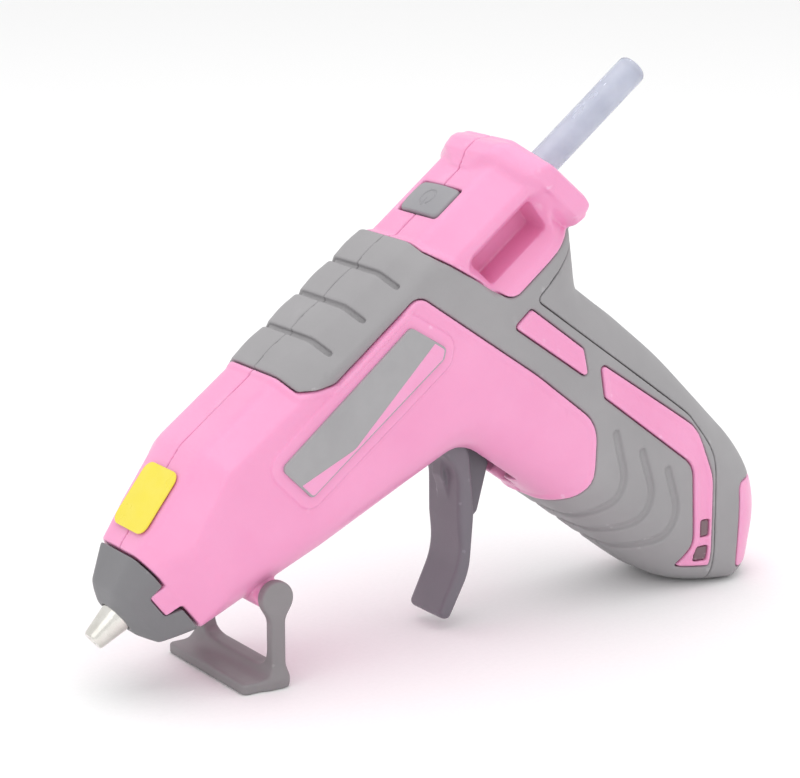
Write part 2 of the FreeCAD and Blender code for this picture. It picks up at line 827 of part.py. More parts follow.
def make_return_spring():
    """Compression spring round the stick, between the carriage and the sleeve, coiled up its own +Z."""
    body = new_body("return_spring")
    wire = new_sketch(body, "spring_wire_section", "XZ_Plane")
    draw_circle(wire, d["spring_radius"], d["spring_wire"], d["spring_wire"])
    coil = body.newObject("PartDesign::AdditiveHelix", "spring_coil")
    coil.Profile = wire
    coil.ReferenceAxis = (wire, ["V_Axis"])
    coil.Mode = 0
    bind(coil, "Pitch", d["spring_pitch"])
    bind(coil, "Height", d["spring_length"] - d["spring_wire"] * 2.0)
    return body


TRIGGER_BLADE = [
    (66.0, -23.0),
    (63.4, -35.6, 8.0),
    (71.6, -46.1, 0.7),
    (73.2, -52.4, 7.0),
    (88.2, -58.4, 1.2),
    (85.8, -61.6, 1.2),
    (76.6, -57.6, 14.0),
    (66.2, -46.8, 12.0),
    (58.2, -34.0, 6.0),
    (57.0, -23.0),
]

TRIGGER_WEB = [
    (66.0, -36.0),
    (70.4, -50.0, 3.0),
    (64.2, -49.6, 2.0),
    (54.8, -42.6, 1.5),
    (57.2, -30.0),
    (60.0, -28.0),
]


def make_trigger():
    """Two-finger trigger: scalloped blade, thin web behind it, hub and a fork that drives the carriage."""
    blade = prism("trigger_blade", TRIGGER_BLADE, -d["trigger_half"], d["trigger_half"])
    web = prism("trigger_web", TRIGGER_WEB, -2.1, 2.1)
    hub = rod("trigger_hub", 4.4, (pivot[0], -d["trigger_half"], pivot[1]), d["trigger_half"])
    arm_top = pivot[1] + d["feed_arm"] + 1.6
    arm = box(
        "trigger_arm",
        (pivot[0] - 3.3, -d["arm_half"], pivot[1]),
        (pivot[0] + 3.3, d["arm_half"], arm_top),
    )
    gap = d["feed_pin_radius"] + 0.16
    fork = box(
        "trigger_fork",
        (pivot[0] - gap, -10.0, arm_top - 4.0),
        (pivot[0] + gap, 10.0, arm_top + 1.0),
    )
    bore_radius = d["pivot_pin_radius"] + d["pivot_clearance"]
    bore = rod("trigger_bore", bore_radius, (pivot[0], -10.0, pivot[1]), 10.0)
    trigger = cut("trigger", fuse("trigger_solid", blade, web, hub, arm), fork, bore)
    pin = rod("trigger_pin", d["pivot_pin_radius"], (pivot[0], -11.0, pivot[1]), 11.0)
    return [trigger, pin]


def make_power_controls():
    """The crowned power button, and the switch and board under it."""
    rear, front, side = d["button_rear"], d["button_front"], d["button_half"]
    body = new_body("power_button")
    face = new_sketch(body, "button_face", "YZ_Plane", rear)
    top = d["neck_top"] + d["button_proud"]
    draw_outline(
        face,
        [
            (side * 0.6, top),
            (side, top - 0.9),
            (side, 11.5),
            (-side, 11.5),
            (-side, top - 0.9),
            (side * -0.6, top),
        ],
    )
    pad(body, face, front - rear)
    flange = new_sketch(body, "button_flange", "XY_Plane", 11.1)
    draw_outline(flange, [(rear - 1.1, -6.6), (front + 1.1, -6.6), (front + 1.1, 6.6), (rear - 1.1, 6.6)])
    pad(body, flange, 0.8)
    board = box("switch_board", (19.5, -8.0, 6.8), (37.5, 8.0, 8.0))
    switch = fuse(
        "button_switch",
        box("switch_body", (26.1, -3.0, 8.0), (32.1, 3.0, 9.8)),
        box("switch_plunger", (27.8, -1.3, 9.7), (30.4, 1.3, 10.3)),
    )
    return [body, board, switch]


CELL_TOP = Vector(32.0, 0.0, -35.0)
CELL_LEAN = math.degrees(math.atan2(10.0, 64.0))


def make_battery():
    """The rechargeable cell and its two welded tabs, leaning with the grip."""
    lean = Rotation(Vector(0, 1, 0), 180 + CELL_LEAN)
    cell = doc.addObject("Part::Cylinder", "battery_cell")
    bind(cell, "Radius", d["cell_radius"])
    bind(cell, "Height", d["cell_length"])
    cell.Placement = Placement(CELL_TOP, lean)
    tabs = []
    for index, along in enumerate((-0.3, number(d["cell_length"]))):
        tab = doc.addObject("Part::Box", f"battery_tab_{index}")
        tab.Length, tab.Width, tab.Height = 13.0, 5.0, 0.3
        tab.Placement = Placement(CELL_TOP, lean) * Placement(Vector(-6.5, -2.5, along), Rotation())
        tabs.append(tab)
    return [cell, fuse("battery_tabs", *tabs)]


def make_charging(forms):
    """Charging board, its socket in the heel and the light guides to the indicator windows."""
    z = d["port_z"]
    board = box("charge_board", (8.8, -8.0, z - 7.0), (10.0, 8.0, z + 17.0))
    socket = cut(
        "charge_socket",
        box("socket_shell", (2.2, -4.45, z - 1.6), (8.8, 4.45, z + 1.6)),
        box("socket_mouth", (1.0, -4.1, z - 1.25), (8.3, 4.1, z + 1.25)),
    )
    tongue = box("socket_tongue", (3.0, -3.3, z - 0.35), (8.3, 3.3, z + 0.35))
    guides = []
    for index, ((x, z_low), window) in enumerate(zip(((24.6, -91.0), (28.6, -96.6)), light_windows(0.15))):
        stem = box(f"light_stem_{index}", (10.2, 10.8, z_low + 0.4), (x + 2.0, 12.6, z_low + 3.4))
        guides.append(fuse(f"light_guide_{index}", stem, window))
    port = fuse("charge_port", socket, tongue)
    return [board, port, common("light_guides", fuse("guide_blanks", *guides), forms["outer"])]


def make_stand():
    """The fold-down wire-style stand, upright about its own pivot: +X here is the row's -X."""
    body = new_body("stand")
    half_span = d["stand_half"]
    leg = d["stand_leg"]
    drop = d["stand_height"]
    frame = new_sketch(body, "stand_frame", "YZ_Plane", -(d["stand_bar"] * 0.5))
    draw_outline(
        frame,
        [
            (-half_span, 0.0),
            (-half_span, -drop, 1.2),
            (half_span, -drop, 1.2),
            (half_span, 0.0),
            (half_span - leg, 0.0),
            (half_span - leg, -drop + 3.6, 4.0),
            (-(half_span - leg), -drop + 3.6, 4.0),
            (-(half_span - leg), 0.0),
        ],
    )
    pad(body, frame, d["stand_bar"])
    foot = new_sketch(body, "stand_foot_outline", "XY_Plane", -drop)
    draw_outline(
        foot,
        [
            (-(d["stand_bar"] * 0.5), -half_span, 0.8),
            (d["stand_foot"], -half_span, 1.6),
            (d["stand_foot"], half_span, 1.6),
            (-(d["stand_bar"] * 0.5), half_span, 0.8),
        ],
    )
    pad(body, foot, d["stand_foot_depth"])
    eyes = []
    for index, low in enumerate((half_span - leg, -half_span)):
        eyes.append(rod(f"stand_eye_{index}", d["stand_boss_radius"], (0.0, low, 0.0), low + leg))
    reach = half_span - 0.7
    hole = rod("stand_hole", d["stand_pin_radius"] + 0.05, (0.0, -reach, 0.0), reach)
    stand = cut("stand_piece", fuse("stand_blank", body, *eyes), hole)
    pins = [
        rod(f"stand_pin_{i}", d["stand_pin_radius"], (stand_pivot[0], low, stand_pivot[1]), low + 7.0)
        for i, low in enumerate((half_span - 7.8, -half_span + 0.8))
    ]
    return [stand, fuse("stand_pins", *pins)]


def make_screws():
    """Seven pan-head screws, driven from the right."""
    screws = []
    for index, (x, z) in enumerate(SCREW_SPOTS):
        shank = rod(f"screw_shank_{index}", d["screw_radius"] - 0.05, (x, -6.0, z), 8.4)
        head = rod(f"screw_head_{index}", d["screw_head_radius"], (x, -7.8, z), -6.0)
        recess = box(f"screw_recess_{index}", (x - 0.35, -8.0, z - 1.4), (x + 0.35, -7.1, z + 1.4))
        cross = box(f"screw_cross_{index}", (x - 1.4, -8.0, z - 0.35), (x + 1.4, -7.1, z + 0.35))
        screws.append(cut(f"screw_{index}", fuse(f"screw_blank_{index}", shank, head), recess, cross))
    return fuse("housing_screws", *screws)


def make_badges():
    """A plain raised plate on each side of the barrel."""
    outline = [(96.6, -4.6, 1.6), (97.9, 5.9, 1.6), (56.3, 6.6, 1.6), (52.6, -3.4, 1.2), (54.6, -5.0, 1.2)]
    plates = []
    for side, low in (("left", half + 0.02), ("right", -(half + 0.72))):
        plates.append(prism(f"{side}_badge", outline, low, low + 0.7))
    return plates


def make_nose_label():
    """A blank label lying on the sloping front facet."""
    blank = doc.addObject("Part::Box", "nose_label")
    blank.Length, blank.Width, blank.Height = 15.4, 13.4, 0.3
    slope = math.atan2(number(d["nose_top"]) - 13.0, number(d["nose_side_start"] - d["nose_start"]))
    rest = Vector(113.0, -6.7, number(d["nose_top"]) - 6.0 * math.tan(slope) + 0.02)
    blank.Placement = Placement(rest, Rotation(Vector(0, 1, 0), math.degrees(slope)))
    return blank


# ---------------------------------------------------------------------------------------------
# Assembly: every piece is named and set down in the row frame
# ---------------------------------------------------------------------------------------------


def settle(piece, label, frame):
    """Names a piece and moves it from its drawing frame into the row frame."""
    for axis in "xyz":
        piece.setExpression(f"Placement.Base.{axis}", None)
    piece.Placement = frame * piece.Placement
    piece.Label = label


SPRING_FRAME = GUN * Placement(Vector(68.0, 0, 0), Rotation(Vector(0, 1, 0), 90))
STAND_FRAME = Placement(
    GUN.multVec(Vector(number(d["stand_x"]), 0, number(d["stand_z"]))), Rotation(Vector(0, 0, 1), 180)
)

forms = make_forms()
windows = {side: window_cut(side) for side in ("left", "right")}
trigger_opening = trigger_slot()

nodes = {}


def keep(pieces, *labels):
    for piece, label in zip(pieces, labels, strict=True):
        nodes[label] = piece


keep([make_shell("left", forms), make_shell("right", forms)], "left_shell", "right_shell")
keep(make_covers(forms), "left_overmould", "right_overmould", "back_strap", "heel_insert")
keep([make_nose_cap(forms)], "nose_cap")
keep(make_hot_end(), "nozzle", "melt_chamber", "heater_element", "thermal_fuse", "inlet_sleeve")
keep(make_stick_path(), "glue_stick", "inlet_bushing")
keep(make_carriage(), "feed_carriage", "feed_pin", "stick_gripper")
keep([make_return_spring()], "return_spring")
keep(make_trigger(), "trigger", "trigger_pin")
keep(make_power_controls(), "power_button", "switch_board", "button_switch")
keep(make_battery(), "battery_cell", "battery_tabs")
keep(make_charging(forms), "charge_board", "charge_port", "light_guides")
keep(make_stand(), "stand", "stand_pins")
keep([make_screws()], "housing_screws")
keep(make_badges(), "left_badge", "right_badge")
keep([make_nose_label()], "nose_label")

doc.recompute()

for label, piece in nodes.items():
    special = {"return_spring": SPRING_FRAME, "stand": STAND_FRAME}
    settle(piece, label, special.get(label, GUN))

doc.recompute()

for obj in doc.Objects:
    if "Invalid" in obj.State or "Error" in obj.State:
        raise RuntimeError(f"{obj.Name} did not build")

os.makedirs("parts", exist_ok=True)
for label, piece in nodes.items():
    if piece.Shape.isNull() or not piece.Shape.isValid():
        raise RuntimeError(f"{label} has a bad shape")
    piece.Shape.exportStep(f"parts/{label}.step")
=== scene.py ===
"""Looks for the cordless mini glue gun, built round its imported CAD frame.

The moulded pieces are worked out as distance fields, negative inside, in the gun's own frame: x forward
along the glue stick, y to the holder's left, z up, in millimetres, with the origin on the stick near the
rear collar. Each field is turned into a closed mesh and set down in the row frame in metres.
"""

import math

import bpy
import numpy as np
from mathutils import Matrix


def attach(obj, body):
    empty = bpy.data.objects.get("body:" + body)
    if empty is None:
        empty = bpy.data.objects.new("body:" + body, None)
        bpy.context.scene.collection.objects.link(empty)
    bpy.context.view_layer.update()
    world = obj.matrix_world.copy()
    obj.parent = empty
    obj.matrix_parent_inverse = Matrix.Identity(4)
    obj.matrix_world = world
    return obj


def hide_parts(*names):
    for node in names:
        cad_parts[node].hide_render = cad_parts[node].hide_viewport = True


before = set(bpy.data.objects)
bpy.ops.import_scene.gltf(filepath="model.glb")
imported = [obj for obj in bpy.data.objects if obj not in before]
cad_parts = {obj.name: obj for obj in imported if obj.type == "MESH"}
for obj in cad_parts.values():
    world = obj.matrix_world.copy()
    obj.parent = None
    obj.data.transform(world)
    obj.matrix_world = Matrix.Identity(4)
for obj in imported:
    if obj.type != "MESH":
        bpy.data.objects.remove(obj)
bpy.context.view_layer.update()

import openvdb
from mathutils import Matrix, Vector

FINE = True
MM = 0.001

# how the gun stands in the row frame
NOSE_TILT = math.radians(37.93)
GUN_ORIGIN = (29.4, 0.0, 103.9)
TILT_COS = math.cos(NOSE_TILT)
TILT_SIN = math.sin(NOSE_TILT)
GUN = (
    Matrix.Translation(Vector(GUN_ORIGIN) * MM)
    @ Matrix.Rotation(-NOSE_TILT, 4, "Y")
    @ Matrix.Rotation(math.pi, 4, "Z")
    @ Matrix.Scale(MM, 4)
)

# ---------------------------------------------------------------------------------------------
# Distance fields
# ---------------------------------------------------------------------------------------------


class Grid:
    """A box of sample points, with x, y and z as arrays that broadcast together."""

    def __init__(self, low, high, step):
        self.low = np.array(low, float)
        self.step = step
        axes = [np.arange(a, b + step, step, dtype=np.float32) for a, b in zip(low, high)]
        self.x = axes[0][:, None, None]
        self.y = axes[1][None, :, None]
        self.z = axes[2][None, None, :]
        self.shape = tuple(len(axis) for axis in axes)


def larger(a, b, soft=0.4):
    """Keeps what is in both shapes, with the edge between them rounded."""
    overlap = np.maximum(soft - np.abs(a - b), 0.0)
    return np.maximum(a, b) + overlap * overlap * (0.25 / soft)


def smaller(a, b, soft=0.4):
    """Joins two shapes, with the corner between them filled."""
    return -larger(-a, -b, soft)


def without(a, b, soft=0.4):
    """Takes shape b out of shape a."""
    return larger(a, -b, soft)


def smooth_step(low, high, value):
    t = np.clip((value - low) / (high - low), 0.0, 1.0)
    return t * t * (3.0 - 2.0 * t)


def rounded_path(corners, closed=True, arc_steps=7):
    """Points along corners (u, v) or (u, v, radius), with each rounded corner as an arc."""
    points = []
    count = len(corners)
    for i, corner in enumerate(corners):
        here = np.array(corner[:2], float)
        radius = corner[2] if len(corner) > 2 else 0.0
        if radius == 0.0 or (not closed and i in (0, count - 1)):
            points.append(here)
            continue
        back = np.array(corners[i - 1][:2], float) - here
        ahead = np.array(corners[(i + 1) % count][:2], float) - here
        back /= np.linalg.norm(back)
        ahead /= np.linalg.norm(ahead)
        half = 0.5 * math.acos(float(np.clip(back @ ahead, -1, 1)))
        middle = back + ahead
        centre = here + middle / np.linalg.norm(middle) * radius / math.sin(half)
        first = here + back * radius / math.tan(half) - centre
        last = here + ahead * radius / math.tan(half) - centre
        angle = math.atan2(first[1], first[0])
        sweep = math.remainder(math.atan2(last[1], last[0]) - angle, 2 * math.pi)
        for t in np.linspace(0, 1, arc_steps + 1):
            turned_to = angle + sweep * t
            points.append(centre + radius * np.array([math.cos(turned_to), math.sin(turned_to)]))
    return np.array(points)


def path_distance(points, u, v, closed=True):
    """Distance from every (u, v) to a path, negative inside it where the path is closed."""
    shape = np.broadcast_shapes(u.shape, v.shape)
    nearest = np.full(shape, 1e9, np.float32)
    inside = np.zeros(shape, bool)
    ends = np.roll(points, -1, axis=0) if closed else points[1:]
    for start, end in zip(points, ends):
        run = (end - start).astype(np.float32)
        length_squared = float(run @ run)
        if length_squared < 1e-9:
            continue
        du = u - np.float32(start[0])
        dv = v - np.float32(start[1])
        t = np.clip((du * run[0] + dv * run[1]) / length_squared, 0, 1)
        np.minimum(nearest, (du - t * run[0]) ** 2 + (dv - t * run[1]) ** 2, out=nearest)
        if closed and run[1] != 0:
            crosses = (start[1] > v) != (end[1] > v)
            inside ^= crosses & (u < start[0] + (v - start[1]) * (run[0] / run[1]))
    distance = np.sqrt(nearest)
    return np.where(inside, -distance, distance) if closed else distance


def outline(corners, u, v):
    """Distance to a closed outline with rounded corners."""
    return path_distance(rounded_path(corners), u, v)


def rounded_plate(face, across, half, edge):
    """An outline carried across to a half thickness, with its edges rounded."""
    a = face + edge
    b = np.abs(across) - half + edge
    outside = np.hypot(np.maximum(a, 0), np.maximum(b, 0))
    return outside + np.minimum(np.maximum(a, b), 0) - edge


def block(grid, low, high, edge=0.0):
    """A block between two corners, with rounded edges."""
    sides = []
    for axis, a, b in zip((grid.x, grid.y, grid.z), low, high):
        sides.append(np.abs(axis - (a + b) / 2) - (b - a) / 2 + edge)
    dx, dy, dz = sides
    outside = np.sqrt(np.maximum(dx, 0) ** 2 + np.maximum(dy, 0) ** 2 + np.maximum(dz, 0) ** 2)
    return outside + np.minimum(np.maximum(np.maximum(dx, dy), dz), 0) - edge


def sample(field, places):
    """Values of a field at places given in steps from its corner."""
    places = np.clip(places, 0, np.array(field.shape) - 1.001)
    base = places.astype(int)
    part = places - base
    total = 0.0
    for corner in np.ndindex(2, 2, 2):
        at = base + corner
        weight = np.prod(np.where(corner, part, 1 - part), axis=1)
        total = total + weight * field[at[:, 0], at[:, 1], at[:, 2]]
    return total


def mesh_from_field(name, field, grid, place=GUN, merge=0.0):
    """A smooth closed mesh where a field is zero, with its normals taken from the field."""
    limit = 3.0 * grid.step
    clipped = np.clip(np.broadcast_to(field, grid.shape), -limit, limit)
    values = np.ascontiguousarray(clipped, dtype=np.float32)
    volume = openvdb.FloatGrid()
    volume.background = limit
    volume.copyFromArray(values)
    points, triangles, quads = volume.convertToPolygons(0.0, merge)
    normals = np.empty((len(points), 3))
    for axis in range(3):
        shift = np.zeros(3)
        shift[axis] = 0.8
        normals[:, axis] = sample(values, points + shift) - sample(values, points - shift)
    normals /= np.maximum(np.linalg.norm(normals, axis=1, keepdims=True), 1e-9)
    turn = np.array(place)[:3, :3]
    world = (grid.low + points * grid.step) @ turn.T + np.array(place)[:3, 3]
    world_normals = normals @ (turn / MM).T
    faces = [tuple(face) for face in quads[:, ::-1].tolist()]
    faces += [tuple(face) for face in triangles[:, ::-1].tolist()]
    mesh = bpy.data.meshes.new(name)
    mesh.from_pydata(world.tolist(), [], faces)
    mesh.update()
    first = mesh.polygons[0]
    if Vector(first.normal).dot(Vector(world_normals[first.vertices[0]])) < 0:
        mesh.flip_normals()
    mesh.polygons.foreach_set("use_smooth", np.ones(len(mesh.polygons), bool))
    mesh.normals_split_custom_set_from_vertices(world_normals.tolist())
    piece = bpy.data.objects.new(name, mesh)
    bpy.context.scene.collection.objects.link(piece)
    return piece


def present(piece, body, slot, material, *nodes):
    """Sets a piece on its body, in place of the CAD nodes that it stands for."""
    piece.data.materials.clear()
    piece.data.materials.append(material)
    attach(piece, body)
    if nodes:
        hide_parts(*nodes)
    print(f"PIECE {piece.name}: {sum(len(p.vertices) - 2 for p in piece.data.polygons)} triangles")


# ---------------------------------------------------------------------------------------------
# Outlines in the side view, as (x, z) or (x, z, corner radius)
# ---------------------------------------------------------------------------------------------


def ground(x):
    """The height in the gun's frame of the surface that it stands on."""
    return (-GUN_ORIGIN[2] + TILT_SIN * x) / TILT_COS


SIDE = [
    (8.6, 15.2),
    (41.5, 15.2, 1.0),
    (41.8, 16.5, 0.4),
    (107.0, 17.9, 2.0),
    (131.6, 11.3, 3.0),
    (139.3, 7.5, 1.0),
    (141.2, 4.3),
    (141.2, -4.3),
    (139.3, -8.2, 1.0),
    (131.6, -12.2, 6.0),
    (116.1, -16.1, 60.0),
    (100.1, -20.4, 60.0),
    (74.0, -26.2, 0.5),
    (60.0, -29.4, 9.0),
    (48.8, -68.0, 60.0),
    (40.0, -100.0, 30.0),
    (33.0, -124.0),
    (29.5, -124.0),
    (3.6, -100.5, 26.0),
    (3.8, -84.0, 60.0),
    (7.6, -54.0, 90.0),
    (11.2, -38.0, 60.0),
    (15.2, -23.5, 4.0),
    (8.0, -11.0, 4.0),
    (8.0, -4.0, 2.0),
]

# how the barrel changes along its length: x, crown half width, top, half width, shoulder
STATIONS = np.array(
    [
        (7.0, 8.6, 15.2, 16.5, 8.6),
        (41.5, 8.6, 15.2, 16.5, 9.0),
        (41.8, 8.6, 16.5, 16.5, 10.2),
        (107.0, 8.6, 17.9, 16.5, 13.2),
        (122.0, 7.9, 14.1, 16.5, 7.2),
        (131.6, 7.2, 11.3, 11.0, 7.0),
        (139.3, 4.8, 7.5, 7.7, 4.6),
        (141.2, 2.7, 4.3, 4.4, 2.7),
    ]
)

OVERMOULD = [
    (-12.0, -8.5),
    (33.2, -8.7, 4.0),
    (42.2, 14.0),
    (41.6, 40.0),
    (84.0, 40.0),
    (84.0, 14.0),
    (77.0, 9.8, 3.0),
    (50.2, 9.8, 3.5),
    (38.7, -26.8, 60.0),
    (33.6, -47.8, 9.0),
    (44.5, -60.6, 8.0),
    (54.0, -56.8),
    (80.0, -60.0),
    (60.0, -130.0),
    (-12.0, -130.0),
]

STRAP = [
    (-12.0, -12.2),
    (17.8, -12.2, 0.5),
    (28.6, -13.2, 1.2),
    (13.0, -67.0, 10.0),
    (13.2, -79.0, 14.0),
    (38.0, -112.0),
    (20.0, -135.0),
    (-12.0, -120.0),
]

INSERT = [
    (12.6, -91.1, 2.0),
    (-2.8, -103.1),
    (10.3, -119.9),
    (25.7, -107.9, 2.0),
]

PARALLELOGRAM = [
    (30.8, -13.6, 1.0),
    (26.0, -31.0, 1.5),
    (29.2, -37.8, 0.8),
    (36.6, -13.8, 0.8),
]

STRIP = [
    (24.6, -37.2, 0.8),
    (13.6, -70.5, 9.0),
    (17.6, -83.2, 12.0),
    (31.0, -100.8, 0.8),
    (37.4, -94.8, 0.8),
    (31.2, -92.2, 6.0),
    (20.0, -76.5, 6.0),
    (28.6, -44.6, 0.8),
]

WINDOW = [
    (15.6, 4.6, 1.0),
    (15.6, -3.6, 1.0),
    (34.0, -3.6, 1.0),
    (35.4, 4.6, 1.0),
]

TRIGGER_MOUTH = [(55.5, -17.0), (51.0, -48.0), (70.0, -48.0), (66.6, -32.0), (66.6, -17.0)]
WEB_SLOT = [(44.0, -34.0), (44.0, -50.0), (60.0, -54.0), (60.0, -34.0)]

GRIP_GROOVES = [
    [(31.3, -53.9), (37.0, -67.2, 8.0), (50.0, -66.0)],
    [(28.6, -63.0), (34.0, -78.0, 8.0), (48.8, -72.5)],
    [(25.9, -71.9), (31.2, -86.4, 8.0), (46.7, -80.9)],
]

SCREW_SPOTS = [
    (112.0, 10.6),
    (104.0, -16.6),
    (46.0, 10.8),
    (44.0, -21.0),
    (21.0, -17.5),
    (44.0, -62.0),
    (35.4, -96.6),
]

# centre x and z, width and height of the two indicator windows, which stand upright on the heel
LIGHT_SPOTS = [
    (26.7, -91.6, 2.5, 4.0),
    (31.0, -96.2, 3.4, 3.6),
]

BADGE = [
    (96.6, -4.6, 0.9),
    (97.9, 5.9, 1.4),
    (56.3, 6.6, 1.4),
    (52.6, -3.4, 1.2),
    (54.6, -5.0, 1.2),
]

# the pink part along the badge's lower edge
BADGE_FLASH = [
    (96.2, -4.3, 0.8),
    (96.7, -0.4, 0.2),
    (82.6, -3.9, 5.0),
    (54.2, -0.4, 0.2),
    (53.2, -3.3, 0.8),
    (54.9, -4.6, 0.8),
]

CAP_NOTCH = [
    (128.0, 4.4),
    (135.0, 2.6, 0.8),
    (135.0, -3.0, 0.8),
    (128.0, -5.0),
]

HALF_WIDTH = 16.5
COLLAR_HALF = 18.9
COLLAR_TOP = 17.1
CAP_START = 131.0
TRIGGER_PIVOT = (61.0, -23.0)
STAND_HINGE = (115.8, -16.3)
STAND_HEIGHT = 19.86
SCREW_WELL_RADIUS = 2.7
CASING_STEP = 0.36 if FINE else 0.9
PLINTH_HEIGHT = 0.4
COVER_DEPTH = 1.9
WALL = 3.3
SEAM = 0.12


def station(x, column):
    """One column of the barrel's stations at every x, with the bends between them eased."""
    shifts = (-0.9, -0.45, 0.0, 0.45, 0.9)
    eased = [np.interp(x + shift, STATIONS[:, 0], STATIONS[:, column]) for shift in shifts]
    return np.mean(eased, axis=0).astype(np.float32)


def gun_form(grid):
    """The whole outside of the gun, before it is split into pieces."""
    x, y, z = grid.x, grid.y, grid.z
    off_centre = np.abs(y)
    side = outline(SIDE, x, z)
    height = GUN_ORIGIN[2] - x * TILT_SIN + z * TILT_COS
    under_edge = 12.5 + 1.5 * smooth_step(40.0, 20.0, x)
    upper = smooth_step(-4.0, 6.0, z) * smooth_step(0.0, 8.0, x)
    edge = under_edge + (2.5 - under_edge) * upper
    form = rounded_plate(side, y, HALF_WIDTH - 0.9 * smooth_step(-85.0, -115.0, z), edge)
    form = larger(form, -height, 5.0)

    crown, top, wide, shoulder = (station(x, column) for column in (1, 2, 3, 4))
    rise = top - shoulder
    run = wide - crown
    facet = ((off_centre - crown) * rise + (z - top) * run) / np.hypot(rise, run)
    nose_slope = np.interp(x, [121.0, 122.6, 131.0, 132.4], [0.0, 0.64, 0.64, 0.35])
    form = larger(form, facet, 1.0)
    form = larger(form, (off_centre - wide) / np.hypot(1.0, nose_slope), 1.0)
    form = larger(form, (z - top) / np.hypot(1.0, np.interp(x, [106.0, 108.0], [0.0, 0.253])), 1.0)

    lean = x - 0.2 * np.clip(z, -5.0, 20.0)
    rise = np.interp(lean, [6.3, 7.5, 9.0, 12.0, 15.8, 20.0], [-2.0, -0.8, 0.0, 0.0, -1.9, -12.0])
    swell = np.interp(lean, [6.3, 7.3, 11.2, 12.6, 18.0], [-0.8, 0.0, -0.9, -2.3, -12.0])
    collar = larger(off_centre - COLLAR_HALF - swell, z - COLLAR_TOP - rise, 0.8)
    chamfer = ((off_centre - 9.0) * 6.8 + (z - COLLAR_TOP) * 9.9) / 12.01 - 0.5 * (rise + swell)
    collar = larger(collar, chamfer, 1.0)
    collar = larger(collar, ((off_centre - COLLAR_HALF) * 6.0 - (z + 5.5) * 8.0) / 10.0 - swell, 3.0)
    rear = np.hypot(np.minimum(lean - 14.3, 0.0), np.minimum(z + 2.0, 0.0)) - 8.0
    collar = larger(collar, np.maximum(rear, x - 24.0), 1.4)

    plinth = larger(outline(BADGE, x, z) - 2.8, off_centre - HALF_WIDTH - PLINTH_HEIGHT, 0.7)
    form = smaller(form, plinth, 0.3)
    return smaller(form, collar, 1.2)


def window_opening(grid):
    """The stick window, with the frame round it sloping outwards."""
    grow = np.clip((np.abs(grid.y) - 13.3) * 0.85, 0.0, 3.2)
    return np.maximum(outline(WINDOW, grid.x, grid.z) - grow, 6.2 - np.abs(grid.y))


def upright_window(grid, spot, grow):
    """One indicator window, square to the ground, cut in from the left."""
    x, z, width, height = spot
    across = (grid.x - x) * TILT_COS + (grid.z - z) * TILT_SIN
    upward = (grid.z - z) * TILT_COS - (grid.x - x) * TILT_SIN
    face = larger(np.abs(across) - width / 2 - grow, np.abs(upward) - height / 2 - grow, 0.6)
    return np.maximum(face, 10.6 - grid.y)


def trigger_opening(grid):
    mouth = rounded_plate(outline(TRIGGER_MOUTH, grid.x, grid.z), grid.y, 7.1, 0.5)
    slot = rounded_plate(outline(WEB_SLOT, grid.x, grid.z), grid.y, 2.6, 0.5)
    return np.minimum(mouth, slot)


def cylinder_across(grid, x, z, radius, low, high):
    """A cylinder along y."""
    return np.maximum(np.hypot(grid.x - x, grid.z - z) - radius, np.maximum(low - grid.y, grid.y - high))


